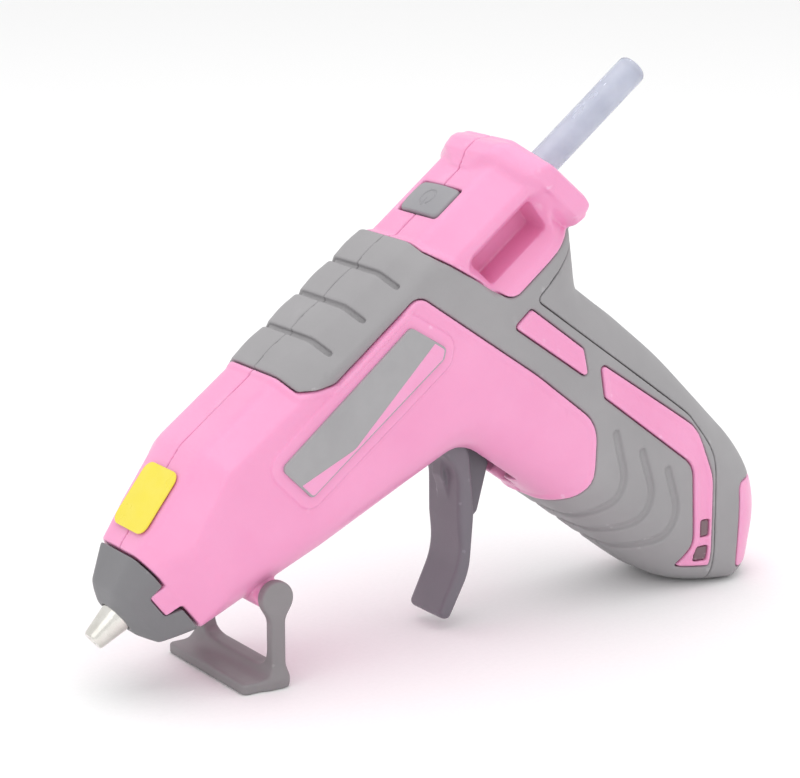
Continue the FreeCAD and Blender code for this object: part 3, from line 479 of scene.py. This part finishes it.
def make_side(side, materials):
    """The pink shell and the grey overmould of one side."""
    outward = 1.0 if side == "left" else -1.0
    low_y, high_y = (-0.4, 20.4) if side == "left" else (-20.4, 0.4)
    grid = Grid((-2.5, low_y, -119.5), (136.5, high_y, 19.0), CASING_STEP)
    x, y, z = grid.x, grid.y, grid.z
    off_centre = np.abs(y)
    form = gun_form(grid)
    over = outline(OVERMOULD, x, z)
    strap = outline(STRAP, x, z)
    insert = outline(INSERT, x, z)
    inlays = np.minimum(outline(PARALLELOGRAM, x, z), outline(STRIP, x, z))
    covered = np.maximum(np.minimum(over, strap), -inlays)
    covered = np.minimum(covered, insert)

    lip = 0.35 * smooth_step(-0.1, 0.2, covered) * (1 - smooth_step(1.0, 2.0, covered))
    recess = larger(covered - SEAM, -(form + COVER_DEPTH), 0.5)
    shell = without(form - lip, recess, 0.5)
    shell = without(shell, form + WALL, 0.4)
    tunnel = np.maximum(outline(WINDOW, x, z) - 2.6, 5.0 - off_centre)
    shell = smaller(shell, np.maximum(tunnel, form + 2.0), 0.3)
    shell = larger(shell, x - CAP_START, 0.5)
    tongue = larger(form + 0.1, block(grid, (120.0, -20.0, -3.2), (134.8, 20.0, 3.0), 0.6), 0.4)
    tongue = without(tongue, form + 2.6, 0.3)
    tongue = larger(tongue, 6.6 - off_centre, 0.4)
    shell = smaller(shell, tongue, 0.5)
    shell = larger(shell, 0.04 - outward * y, 0.35)
    opening = window_opening(grid)
    trigger_gap = trigger_opening(grid)
    shell = without(shell, opening, 0.9)
    shell = without(shell, trigger_gap, 0.5)
    shell = without(shell, np.maximum(np.hypot(y, z) - 4.4, x - 20.0), 1.0)
    shell = without(shell, block(grid, (24.5, -7.5, 8.0), (33.7, 7.5, 22.0), 0.8), 0.4)
    shell = without(shell, block(grid, (-6.0, -4.6, -91.3), (9.0, 4.6, -87.7), 1.2), 0.3)
    lug = rounded_plate(np.hypot(x - STAND_HINGE[0], z - STAND_HINGE[1]) - 3.3, y, 13.3, 0.5)
    shell = smaller(shell, np.maximum(lug, -(form + 2.0)), 1.2)
    shell = larger(shell, -0.04 - outward * y + 0.08, 0.3)

    on_crown = smooth_step(10.0, 13.0, z)
    on_saddle = on_crown * smooth_step(41.0, 42.0, x) * (1 - smooth_step(84.0, 85.0, x))
    raise_saddle = 0.95 * np.maximum(on_saddle, 0)
    rib = np.cos((x - 52.1) * (2 * math.pi / 10.5))
    humps = 0.15 * (1 - rib) * smooth_step(9.0, 14.0, z)
    ribs = humps * smooth_step(41.0, 43.0, x) * (1 - smooth_step(82.0, 84.0, x))
    cover = larger(form - raise_saddle * 0.8 - ribs, np.maximum(over, -inlays) + SEAM, 0.6)
    cover = larger(cover, -(strap - 0.1), 0.35)
    cover = without(cover, form + COVER_DEPTH, 0.3)
    for spot in (52.1, 62.7, 73.0):
        trench = np.hypot(x - spot, np.maximum(off_centre - 13.2, 0.0)) - 0.62
        trench = np.maximum(trench, 8.0 - z)
        cover = without(cover, np.maximum(trench, -(form + 0.3)), 0.5)
    for corners in GRIP_GROOVES:
        line = path_distance(rounded_path(corners, closed=False), x, z, closed=False)
        trench = larger(line - 0.8, -(form + 0.85), 0.5)
        cover = without(cover, trench, 0.9)
    cover = larger(cover, 0.04 - outward * y, 0.3)
    cover = without(cover, opening, 0.5)
    cover = without(cover, trigger_gap, 0.5)

    if side == "right":
        for spot_x, spot_z in SCREW_SPOTS:
            hole = cylinder_across(grid, spot_x, spot_z, SCREW_WELL_RADIUS, -30.0, -6.0)
            shell = without(shell, hole, 0.4)
            cover = without(cover, hole, 0.4)
    else:
        for spot in LIGHT_SPOTS:
            shell = without(shell, upright_window(grid, spot, 0.12), 0.25)

    piece = mesh_from_field(f"{side}_shell_moulding", shell, grid, merge=0.02)
    present(piece, "housing", "pink_casing", materials["pink"], f"{side}_shell")
    piece = mesh_from_field(f"{side}_cover_moulding", cover, grid, merge=0.02)
    present(piece, "housing", "grey_cover", materials["grey"], f"{side}_overmould")


def make_strap(materials):
    """The grey strap down the back of the grip and the pink insert in the heel."""
    grid = Grid((-2.5, -18.0, -119.5), (42.0, 18.0, -10.0), CASING_STEP)
    x, y, z = grid.x, grid.y, grid.z
    form = gun_form(grid)
    strap = outline(STRAP, x, z)
    over = outline(OVERMOULD, x, z)
    insert = outline(INSERT, x, z)
    band = larger(form, np.maximum(strap, over) + 0.1, 0.5)
    band = without(band, form + COVER_DEPTH, 0.3)
    band = without(band, insert - 0.1, 0.4)
    port = block(grid, (-6.0, -4.6, -91.3), (9.0, 4.6, -87.7), 1.2)
    piece = mesh_from_field("back_strap_moulding", without(band, port, 0.3), grid, merge=0.02)
    present(piece, "housing", "grey_cover", materials["grey"], "back_strap")
    plug = larger(form - 0.1, insert + SEAM, 0.5)
    plug = without(plug, form + WALL, 0.3)
    piece = mesh_from_field("heel_insert_moulding", without(plug, port, 0.5), grid, merge=0.02)
    present(piece, "housing", "pink_casing", materials["pink"], "heel_insert")


def make_nose_cap(materials):
    """The dark cap that holds the nozzle, with a notch in each side for the shells' tongues."""
    grid = Grid((130.6, -12.0, -15.0), (142.4, 12.0, 12.0), 0.22 if FINE else 0.5)
    x, y, z = grid.x, grid.y, grid.z
    form = gun_form(grid)
    cap = larger(form, 131.5 - x, 0.5)
    notch = np.maximum(outline(CAP_NOTCH, x, z), 5.0 - np.abs(y))
    cap = without(cap, notch, 0.4)
    cap = without(cap, np.hypot(y, z) - 3.75, 0.4)
    cap = without(cap, np.maximum(form + 2.2, x - 138.0), 0.3)
    piece = mesh_from_field("nose_cap_moulding", cap, grid, merge=0.01)
    present(piece, "housing", "nose_plastic", materials["nose"], "nose_cap")


TRIGGER_BLADE = [
    (66.0, -23.0, 2.0),
    (62.8, -34.6, 9.0),
    (70.6, -44.8, 3.0),
    (75.2, -52.2, 16.0),
    (88.2, -58.6, 1.4),
    (86.6, -61.4, 1.4),
    (75.6, -56.6, 16.0),
    (66.4, -46.6, 16.0),
    (58.2, -34.0, 6.0),
    (57.0, -23.0, 2.0),
]

TRIGGER_WEB = [
    (66.0, -36.0),
    (70.4, -50.0, 3.0),
    (64.2, -49.6, 2.0),
    (54.8, -42.6, 1.5),
    (57.2, -30.0),
    (60.0, -28.0),
]


def make_trigger(materials):
    grid = Grid((51.0, -7.6, -64.0), (91.0, 7.6, -17.0), 0.26 if FINE else 0.6)
    x, y, z = grid.x, grid.y, grid.z
    blade = rounded_plate(outline(TRIGGER_BLADE, x, z), y, 6.5, 1.3)
    web = rounded_plate(outline(TRIGGER_WEB, x, z), y, 2.1, 0.4)
    from_pivot = np.hypot(x - TRIGGER_PIVOT[0], z - TRIGGER_PIVOT[1])
    hub = rounded_plate(from_pivot - 4.4, y, 6.5, 0.5)
    lever = smaller(smaller(blade, web, 0.8), hub, 1.0)
    lever = without(lever, from_pivot - 1.55, 0.2)
    piece = mesh_from_field("trigger_moulding", lever, grid, merge=0.01)
    present(piece, "trigger", "trigger_plastic", materials["trigger"], "trigger")


def make_stand(materials):
    """The folding stand, drawn upright about its hinge and set down in the row frame."""
    hinge = Matrix.Translation(Vector((-51.92, 0.0, STAND_HEIGHT)) * MM)
    place = hinge @ Matrix.Rotation(math.pi, 4, "Z") @ Matrix.Scale(MM, 4)
    grid = Grid((-5.0, -17.2, -20.6), (10.0, 17.2, 4.6), 0.24 if FINE else 0.55)
    x, y, z = grid.x, grid.y, grid.z
    off_centre = np.abs(y)
    front_corners = [(-16.5, 8.0), (-16.5, -STAND_HEIGHT, 2.6), (16.5, -STAND_HEIGHT, 2.6), (16.5, 8.0)]
    front_view = outline(front_corners, y, z)
    opening = outline([(-13.6, 12.0), (-13.6, -16.0, 4.5), (13.6, -16.0, 4.5), (13.6, 12.0)], y, z)
    legs = larger(np.abs(x) - 1.75, z, 0.9)
    boss = np.hypot(x, z) - 3.8
    frame_side = smaller(legs, boss, 2.2)
    bow = larger(larger(frame_side, front_view, 0.9), -opening, 0.9)
    foot = rounded_plate(
        outline([(-1.75, -16.5, 1.2), (8.9, -16.5, 1.3), (8.9, 16.5, 1.3), (-1.75, 16.5, 1.2)], x, y),
        z + 18.66,
        1.2,
        0.55,
    )
    bow = smaller(bow, foot, 3.6)
    bow = larger(bow, -STAND_HEIGHT - z, 0.3)
    bow = without(bow, np.maximum(np.hypot(x, z) - 1.3, off_centre - 15.4), 0.2)
    piece = mesh_from_field("stand_moulding", bow, grid, place=place, merge=0.01)
    present(piece, "stand", "stand_plastic", materials["stand"], "stand")


def make_heel_fittings(materials):
    """The smoked indicator windows and the charging socket in the heel."""
    grid = Grid((18.0, 10.0, -101.0), (37.0, 17.5, -86.0), 0.16 if FINE else 0.5)
    form = gun_form(grid)
    windows = np.minimum(*[upright_window(grid, spot, -0.05) for spot in LIGHT_SPOTS])
    windows = larger(windows, form + 0.15, 0.4)
    piece = mesh_from_field("indicator_windows", windows, grid, merge=0.01)
    present(piece, "housing", "guide_acrylic", materials["guide"], "light_guides")

    grid = Grid((3.6, -5.0, -92.0), (10.6, 5.0, -87.0), 0.14 if FINE else 0.4)
    across, upward = grid.y, grid.z + 89.5
    can_outline = [(4.3, -4.45), (10.0, -4.45), (10.0, 4.45), (4.3, 4.45)]
    can = rounded_plate(outline(can_outline, grid.x, across), upward, 1.6, 0.1)
    mouth_sides = np.maximum(np.abs(across) - 4.1, 3.0 - grid.x)
    mouth_ends = np.maximum(np.abs(upward) - 1.25, grid.x - 9.4)
    mouth = larger(mouth_sides, mouth_ends, 0.8)
    tongue_section = np.maximum(np.abs(across) - 3.3, np.abs(upward) - 0.35)
    tongue = np.maximum(tongue_section, np.abs(grid.x - 7.4) - 2.3)
    socket = np.minimum(without(can, mouth, 0.15), tongue)
    piece = mesh_from_field("charging_socket", socket, grid, merge=0.01)
    present(piece, "housing", "nickel", materials["nickel"], "charge_port")


def make_button(materials):
    """The power button: a crowned key with the usual power symbol cut in its top."""
    grid = Grid((24.4, -7.6, 8.4), (33.8, 7.6, 16.8), 0.16 if FINE else 0.4)
    x, y, z = grid.x, grid.y, grid.z
    across = x - 29.1
    top = 15.9 - 0.012 * y * y - 0.018 * across * across
    key_outline = [(24.8, -7.2, 1.6), (33.4, -7.2, 1.6), (33.4, 7.2, 1.6), (24.8, 7.2, 1.6)]
    key = rounded_plate(outline(key_outline, x, y), z - 7.9, 7.9, 0.1)
    key = larger(key, z - top, 0.9)
    key = larger(key, 9.0 - z, 0.4)
    ring = np.abs(np.hypot(across, y) - 2.0) - 0.24
    ring = np.maximum(ring, 0.85 - np.hypot(across - 2.0, y))
    stroke = np.hypot(np.clip(across, 0.5, 2.4) - across, y) - 0.24
    symbol = np.maximum(np.minimum(ring, stroke), top - 0.45 - z)
    piece = mesh_from_field("power_button_key", without(key, symbol, 0.12), grid, merge=0.01)
    present(piece, "power_button", "button_plastic", materials["button"], "power_button")


def bevelled_plate(name, corners, thickness, bevel, place, arc_steps=6):
    """A thin plate with rounded corners in its outline and a bevel round its top."""
    points = rounded_path(corners, arc_steps=arc_steps)
    if polygon_area(points) < 0:
        points = points[::-1]
    inner = inset_path(points, bevel)
    rows = [
        [(u, v, 0.0) for u, v in points],
        [(u, v, thickness - bevel) for u, v in points],
        [(u, v, thickness - bevel * 0.3) for u, v in inset_path(points, bevel * 0.3)],
        [(u, v, thickness) for u, v in inner],
    ]
    count = len(points)
    vertices = [vertex for row in rows for vertex in row]
    faces = [tuple(reversed(range(count)))]
    for row in range(len(rows) - 1):
        for i in range(count):
            a = row * count + i
            b = row * count + (i + 1) % count
            faces.append((a, b, b + count, a + count))
    faces.append(tuple(range((len(rows) - 1) * count, len(rows) * count)))
    mesh = bpy.data.meshes.new(name)
    mesh.from_pydata([place @ Vector(vertex) for vertex in vertices], [], faces)
    mesh.update()
    if place.to_3x3().determinant() < 0:
        mesh.flip_normals()
    piece = bpy.data.objects.new(name, mesh)
    bpy.context.scene.collection.objects.link(piece)
    return piece


def polygon_area(points):
    u, v = points[:, 0], points[:, 1]
    return 0.5 * float(np.sum(u * np.roll(v, -1) - v * np.roll(u, -1)))


def inset_path(points, amount):
    """The same outline, drawn in by an amount."""
    along = np.roll(points, -1, axis=0) - np.roll(points, 1, axis=0)
    along /= np.linalg.norm(along, axis=1, keepdims=True)
    return points + amount * np.stack([-along[:, 1], along[:, 0]], axis=1)


def make_badges(materials):
    """A blank raised badge on each side of the barrel."""
    for side, outward in (("left", 1.0), ("right", -1.0)):
        face = (HALF_WIDTH + PLINTH_HEIGHT) * outward
        turn = Matrix(((1, 0, 0, 0), (0, 0, outward, face), (0, 1, 0, 0), (0, 0, 0, 1)))
        piece = bevelled_plate(f"{side}_badge_plate", BADGE, 0.72, 0.28, GUN @ turn)
        present(piece, "housing", "badge_plastic", materials["badge"], f"{side}_badge")
        flash = bevelled_plate(f"{side}_badge_flash", BADGE_FLASH, 0.76, 0.06, GUN @ turn)
        present(flash, "housing", "pink_casing", materials["pink"])


def make_label(materials):
    """The blank label on the crown of the nose."""
    slope = math.atan2(17.9 - 14.1, 15.0)
    forward = Vector((math.cos(slope), 0.0, -math.sin(slope)))
    left = Vector((0.0, 1.0, 0.0))
    normal = forward.cross(left)
    start = Vector((112.6, 0.0, 17.9 - (112.6 - 107.0) * math.tan(slope)))
    turn = Matrix.Identity(4)
    turn.col[0].xyz = forward
    turn.col[1].xyz = left
    turn.col[2].xyz = normal
    turn.col[3].xyz = start
    corners = [(0.0, -6.67, 2.5), (15.0, -6.67, 2.5), (15.0, 6.67, 2.5), (0.0, 6.67, 2.5)]
    piece = bevelled_plate("nose_label_film", corners, 0.28, 0.1, GUN @ turn)
    present(piece, "housing", "label_film", materials["label"], "nose_label")


def turned(name, profile, body, slot, material, node, segments=96):
    """A piece turned about the gun's axis from a profile of (x, radius), closed at its ends."""
    vertices = []
    for x, radius in profile:
        for i in range(segments):
            angle = 2 * math.pi * i / segments
            vertices.append(GUN @ Vector((x, radius * math.cos(angle), radius * math.sin(angle))))
    faces = []
    for row in range(len(profile) - 1):
        for i in range(segments):
            a = row * segments + i
            b = row * segments + (i + 1) % segments
            faces.append((a, b, b + segments, a + segments))
    faces.append(tuple(reversed(range(segments))))
    faces.append(tuple(range((len(profile) - 1) * segments, len(profile) * segments)))
    mesh = bpy.data.meshes.new(name)
    mesh.from_pydata(vertices, [], faces)
    mesh.update()
    volume = sum((Vector(f.center).dot(f.normal)) * f.area for f in mesh.polygons)
    if volume < 0:
        mesh.flip_normals()
    mesh.polygons.foreach_set("use_smooth", np.ones(len(mesh.polygons), bool))
    mesh.set_sharp_from_angle(angle=math.radians(38))
    piece = bpy.data.objects.new(name, mesh)
    bpy.context.scene.collection.objects.link(piece)
    present(piece, body, slot, material, node)


def make_turned_pieces(materials):
    nozzle = [(133.0, 1.1), (133.0, 3.5), (142.1, 3.5), (142.3, 3.42)]
    nozzle += [(147.6, 2.5), (147.9, 2.4), (148.2, 2.25)]
    nozzle += [(148.2, 1.2), (147.9, 1.0), (134.0, 1.0)]
    turned("nozzle_tip", nozzle, "housing", "turned_steel", materials["nozzle"], "nozzle")
    stick = [(-30.0, 0.4), (-30.05, 2.6), (-29.9, 3.2), (-29.5, 3.45), (-28.9, 3.5)]
    stick += [(x, 3.5) for x in range(-26, 104, 4)]
    stick += [(104.4, 3.5), (104.9, 3.3), (105.0, 3.0), (105.0, 0.4)]
    turned("glue_stick_cast", stick, "stick", "glue", materials["glue"], "glue_stick")


# ---------------------------------------------------------------------------------------------
# Materials
# ---------------------------------------------------------------------------------------------


def colour(text):
    """A hex colour as linear red, green, blue and alpha."""
    values = [int(text[i : i + 2], 16) / 255 for i in (0, 2, 4)]
    return tuple(v / 12.92 if v <= 0.04045 else ((v + 0.055) / 1.055) ** 2.4 for v in values) + (1.0,)


class Surface:
    """A material with a few helpers for joining its nodes."""

    def __init__(self, name):
        self.material = bpy.data.materials.new(name)
        self.material.use_nodes = True
        self.tree = self.material.node_tree
        self.shader = self.tree.nodes["Principled BSDF"]
        self.place = self.add("ShaderNodeTexCoord").outputs["Object"]

    def add(self, kind, **settings):
        node = self.tree.nodes.new(kind)
        for key, value in settings.items():
            setattr(node, key, value)
        return node

    def set(self, socket, value):
        self.shader.inputs[socket].default_value = value

    def link(self, source, target):
        self.tree.links.new(source, target)

    def noise(self, scale, detail=3.0, roughness=0.55, place=None):
        """Cloudy noise, with the scale in grains to the metre."""
        node = self.add("ShaderNodeTexNoise")
        node.inputs["Scale"].default_value = scale
        node.inputs["Detail"].default_value = detail
        node.inputs["Roughness"].default_value = roughness
        self.link(place or self.place, node.inputs["Vector"])
        return node.outputs["Fac"]

    def stretched(self, factors):
        """The place on the piece, stretched along its axes."""
        node = self.add("ShaderNodeMapping")
        node.inputs["Scale"].default_value = factors
        self.link(self.place, node.inputs["Vector"])
        return node.outputs["Vector"]

    def spread(self, value, low, high, start=0.3, end=0.7):
        """A value that runs from start to end, set out between low and high."""
        node = self.add("ShaderNodeMapRange")
        limits = {"From Min": start, "From Max": end, "To Min": low, "To Max": high}
        for socket, limit in limits.items():
            node.inputs[socket].default_value = limit
        self.link(value, node.inputs["Value"])
        return node.outputs["Result"]

    def blend(self, factor, first, second):
        """One colour running into another. Each is a hex colour or another node's output."""
        node = self.add("ShaderNodeMix", data_type="RGBA")
        self.link(factor, node.inputs["Factor"])
        for socket, value in ((node.inputs[6], first), (node.inputs[7], second)):
            if isinstance(value, str):
                socket.default_value = colour(value)
            else:
                self.link(value, socket)
        return node.outputs[2]

    def times(self, first, second):
        node = self.add("ShaderNodeMath", operation="MULTIPLY")
        self.link(first, node.inputs[0])
        if isinstance(second, (int, float)):
            node.inputs[1].default_value = second
        else:
            self.link(second, node.inputs[1])
        return node.outputs[0]

    def edges(self, low=0.52, high=0.60):
        """Rises to one along worn outer edges."""
        geometry = self.add("ShaderNodeNewGeometry")
        return self.spread(geometry.outputs["Pointiness"], 0.0, 1.0, low, high)

    def bump(self, layers):
        """Raises the surface by layers of (height, strength, depth in metres)."""
        before = None
        for height, strength, depth in layers:
            node = self.add("ShaderNodeBump")
            node.inputs["Strength"].default_value = strength
            node.inputs["Distance"].default_value = depth
            self.link(height, node.inputs["Height"])
            if before:
                self.link(before, node.inputs["Normal"])
            before = node.outputs["Normal"]
        self.link(before, self.shader.inputs["Normal"])


def moulded(
    name, base, shade, worn, rough=(0.38, 0.48), grain=2600.0, grain_strength=0.12, coat=0.0, under=0.0
):
    """Moulded plastic: clouded colour, spark-eroded grain, worn edges and a few rubbed patches."""
    surface = Surface(name)
    clouds = surface.noise(38.0, 4.0)
    fine = surface.noise(grain, 2.0)
    tint = surface.blend(surface.spread(clouds, 0.0, 1.0), base, shade)
    specks = surface.spread(fine, 0.0, 0.16, 0.42, 0.72)
    tint = surface.blend(specks, tint, shade)
    rubbed = surface.times(surface.edges(), surface.spread(surface.noise(260.0, 5.0), 0.15, 0.6, 0.4, 0.62))
    tint = surface.blend(rubbed, tint, worn)
    surface.link(tint, surface.shader.inputs["Base Color"])
    patches = surface.noise(90.0, 5.0)
    surface.link(surface.spread(patches, rough[0], rough[1]), surface.shader.inputs["Roughness"])
    surface.bump([(fine, grain_strength, 0.00012), (surface.noise(420.0, 2.0), 0.06, 0.0004)])
    surface.set("Specular IOR Level", 0.5)
    if coat:
        surface.set("Coat Weight", coat)
        surface.set("Coat Roughness", 0.18)
    if under:
        surface.set("Subsurface Weight", under)
        surface.set("Subsurface Radius", (1.0, 0.45, 0.5))
        surface.set("Subsurface Scale", 0.002)
    return surface.material


def metal(name, base, dull, rough=(0.18, 0.34), along=(1.0, 1.0, 1.0), mark_scale=900.0):
    """Bare metal with fine tool marks and a slight tarnish."""
    surface = Surface(name)
    marks = surface.noise(mark_scale, 4.0, place=surface.stretched(along))
    tarnish = surface.noise(240.0, 4.0)
    tint = surface.blend(surface.spread(tarnish, 0.0, 0.7, 0.4, 0.75), base, dull)
    surface.link(tint, surface.shader.inputs["Base Color"])
    surface.link(surface.spread(marks, rough[0], rough[1]), surface.shader.inputs["Roughness"])
    surface.set("Metallic", 1.0)
    surface.bump([(marks, 0.12, 0.00006)])
    return surface.material


def glue_material():
    """Clear hot-melt glue, a little milky, with faint flow lines along the stick."""
    surface = Surface("clear_glue")
    flow = surface.noise(420.0, 3.0, place=surface.stretched((0.25, 1.0, 0.25)))
    clouds = surface.noise(130.0, 3.0)
    tint = surface.blend(surface.spread(clouds, 0.0, 1.0), "d9dcea", "c9cddd")
    surface.link(tint, surface.shader.inputs["Base Color"])
    surface.link(surface.spread(flow, 0.16, 0.3), surface.shader.inputs["Roughness"])
    surface.set("IOR", 1.48)
    surface.set("Transmission Weight", 0.45)
    surface.set("Subsurface Weight", 0.5)
    surface.set("Subsurface Radius", (0.9, 1.0, 1.0))
    surface.set("Subsurface Scale", 0.004)
    surface.bump([(flow, 0.1, 0.0002), (surface.noise(900.0, 2.0), 0.04, 0.0001)])
    return surface.material


def board_material():
    """Green solder mask over faint copper tracks."""
    surface = Surface("solder_mask")
    tracks = surface.add("ShaderNodeTexVoronoi", feature="DISTANCE_TO_EDGE")
    tracks.inputs["Scale"].default_value = 700.0
    surface.link(surface.place, tracks.inputs["Vector"])
    lines = surface.spread(tracks.outputs["Distance"], 1.0, 0.0, 0.02, 0.07)
    surface.link(surface.blend(lines, "1d5a37", "4f9a5c"), surface.shader.inputs["Base Color"])
    surface.link(surface.spread(surface.noise(300.0), 0.28, 0.42), surface.shader.inputs["Roughness"])
    surface.bump([(lines, 0.3, 0.00005)])
    return surface.material


def make_materials():
    made = {
        "pink": moulded(
            "pink_abs", "f3a3cc", "ee99c4", "f8c3df", (0.30, 0.40), 2200.0, 0.06, coat=0.15, under=0.12
        ),
        "grey": moulded("grey_soft_cover", "a19fa1", "989698", "b5b3b5", (0.50, 0.62), 3400.0, 0.22),
        "nose": moulded("nose_cap_plastic", "7e7d80", "747376", "96959a", (0.44, 0.54), 2600.0, 0.14),
        "trigger": moulded("trigger_plastic", "77727a", "6c6770", "908c94", (0.38, 0.48), 2600.0, 0.1),
        "button": moulded("button_plastic", "9c9b9f", "919094", "b1b0b4", (0.36, 0.46), 2600.0, 0.08),
        "stand": moulded("stand_plastic", "8f8b8d", "858183", "a5a1a3", (0.42, 0.52), 2600.0, 0.12),
        "badge": moulded("badge_plastic", "a4a3a5", "9c9b9d", "bab9bb", (0.32, 0.40), 3800.0, 0.05),
        "label": moulded("yellow_label", "f0de2c", "e9d626", "f6ea90", (0.24, 0.34), 1500.0, 0.03, coat=0.3),
        "inner": moulded("inner_plastic", "c9c6bd", "bdb9af", "dad7cf", (0.42, 0.55)),
        "silicone": moulded("clear_silicone", "d9d6cf", "cfcbc2", "e4e2dc", (0.32, 0.46), under=0.3),
        "ceramic": moulded("white_ceramic", "e9e6de", "dcd8cd", "f4f2ee", (0.24, 0.36)),
        "black": moulded("switch_black", "2a2a2c", "222224", "4a4a4e", (0.32, 0.44)),
        "cell": moulded("cell_sleeve", "3f6fa8", "376297", "7fa3cc", (0.2, 0.32), coat=0.4),
        "guide": moulded("smoked_acrylic", "7c6068", "6f545d", "a08890", (0.12, 0.2), coat=0.4),
        "nozzle": metal("turned_steel", "e6e4de", "cfcbc2", (0.14, 0.28), (1.0, 1.0, 1.0), 1500.0),
        "spring": metal("spring_steel", "c9cacd", "a4a4a8", (0.24, 0.4), (1.0, 1.0, 1.0), 1200.0),
        "zinc": metal("cast_zinc", "b4b4b6", "98989c", (0.36, 0.54), (1.0, 1.0, 1.0), 700.0),
        "nickel": metal("nickel_plate", "d8d4c8", "bfbaac", (0.16, 0.3), (1.0, 1.0, 1.0), 1200.0),
        "glue": glue_material(),
        "board": board_material(),
    }
    return made


# each CAD node that stays on show, with its material
KEPT_NODES = {
    "melt_chamber": "zinc",
    "heater_element": "ceramic",
    "thermal_fuse": "nickel",
    "battery_tabs": "nickel",
    "charge_port": "nickel",
    "inlet_sleeve": "silicone",
    "inlet_bushing": "inner",
    "feed_carriage": "inner",
    "feed_pin": "spring",
    "stick_gripper": "spring",
    "return_spring": "spring",
    "trigger_pin": "spring",
    "stand_pins": "spring",
    "housing_screws": "spring",
    "switch_board": "board",
    "charge_board": "board",
    "button_switch": "black",
    "battery_cell": "cell",
    "light_guides": "guide",
}


def dress_kept_nodes(materials):
    for name, material in KEPT_NODES.items():
        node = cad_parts[name]
        node.data.materials.clear()
        node.data.materials.append(materials[material])


# ---------------------------------------------------------------------------------------------
# Studio
# ---------------------------------------------------------------------------------------------

CAMERA_AZIMUTH = math.radians(-33.66)
CAMERA_ELEVATION = math.radians(14.44)
CAMERA_PLACE = (-0.3263, -0.4744, 0.2029)


def make_floor():
    """A wide, flat, nearly white floor."""
    corners = [(-5.0, -5.0, 0.0), (5.0, -5.0, 0.0), (5.0, 5.0, 0.0), (-5.0, 5.0, 0.0)]
    mesh = bpy.data.meshes.new("studio_floor")
    mesh.from_pydata(corners, [], [(0, 1, 2, 3)])
    floor = bpy.data.objects.new("studio_floor", mesh)
    bpy.context.scene.collection.objects.link(floor)
    surface = Surface("pale_paper")
    fibres = surface.spread(surface.noise(900.0), 0.0, 1.0)
    surface.link(surface.blend(fibres, "fdfdfd", "fafafa"), surface.shader.inputs["Base Color"])
    surface.set("Roughness", 0.85)
    surface.set("Specular IOR Level", 0.2)
    mesh.materials.append(surface.material)


def make_light(name, place, aim, size, power):
    light = bpy.data.lights.new(name, "AREA")
    light.shape = "RECTANGLE"
    light.size, light.size_y = size
    light.energy = power
    lamp = bpy.data.objects.new(name, light)
    lamp.location = place
    lamp.rotation_euler = (Vector(aim) - Vector(place)).to_track_quat("-Z", "Y").to_euler()
    bpy.context.scene.collection.objects.link(lamp)


def make_studio():
    make_floor()
    make_light("overhead", (-0.05, 0.05, 0.95), (0, 0, 0.05), (1.1, 0.9), 3.0)
    make_light("left_panel", (-0.95, -0.45, 0.55), (0, 0, 0.08), (0.7, 0.7), 0.8)
    make_light("front_panel", (0.35, -1.1, 0.45), (0, 0, 0.08), (0.9, 0.6), 0.4)
    world = bpy.data.worlds.new("studio_air")
    world.use_nodes = True
    world.node_tree.nodes["Background"].inputs["Color"].default_value = (1.0, 1.0, 1.0, 1.0)
    world.node_tree.nodes["Background"].inputs["Strength"].default_value = 0.92
    bpy.context.scene.world = world
    bpy.context.scene.view_settings.view_transform = "Standard"
    camera = bpy.data.cameras.new("camera")
    camera.sensor_width = 36.0
    camera.lens = 120.3
    eye = bpy.data.objects.new("camera", camera)
    eye.location = CAMERA_PLACE
    eye.rotation_euler = (math.pi / 2 - CAMERA_ELEVATION, 0.0, CAMERA_AZIMUTH)
    bpy.context.scene.collection.objects.link(eye)
    bpy.context.scene.camera = eye


# ---------------------------------------------------------------------------------------------
# Build
# ---------------------------------------------------------------------------------------------

materials = make_materials()
dress_kept_nodes(materials)
make_side("left", materials)
make_side("right", materials)
make_strap(materials)
make_nose_cap(materials)
make_trigger(materials)
make_stand(materials)
make_heel_fittings(materials)
make_button(materials)
make_badges(materials)
make_label(materials)
make_turned_pieces(materials)
make_studio()
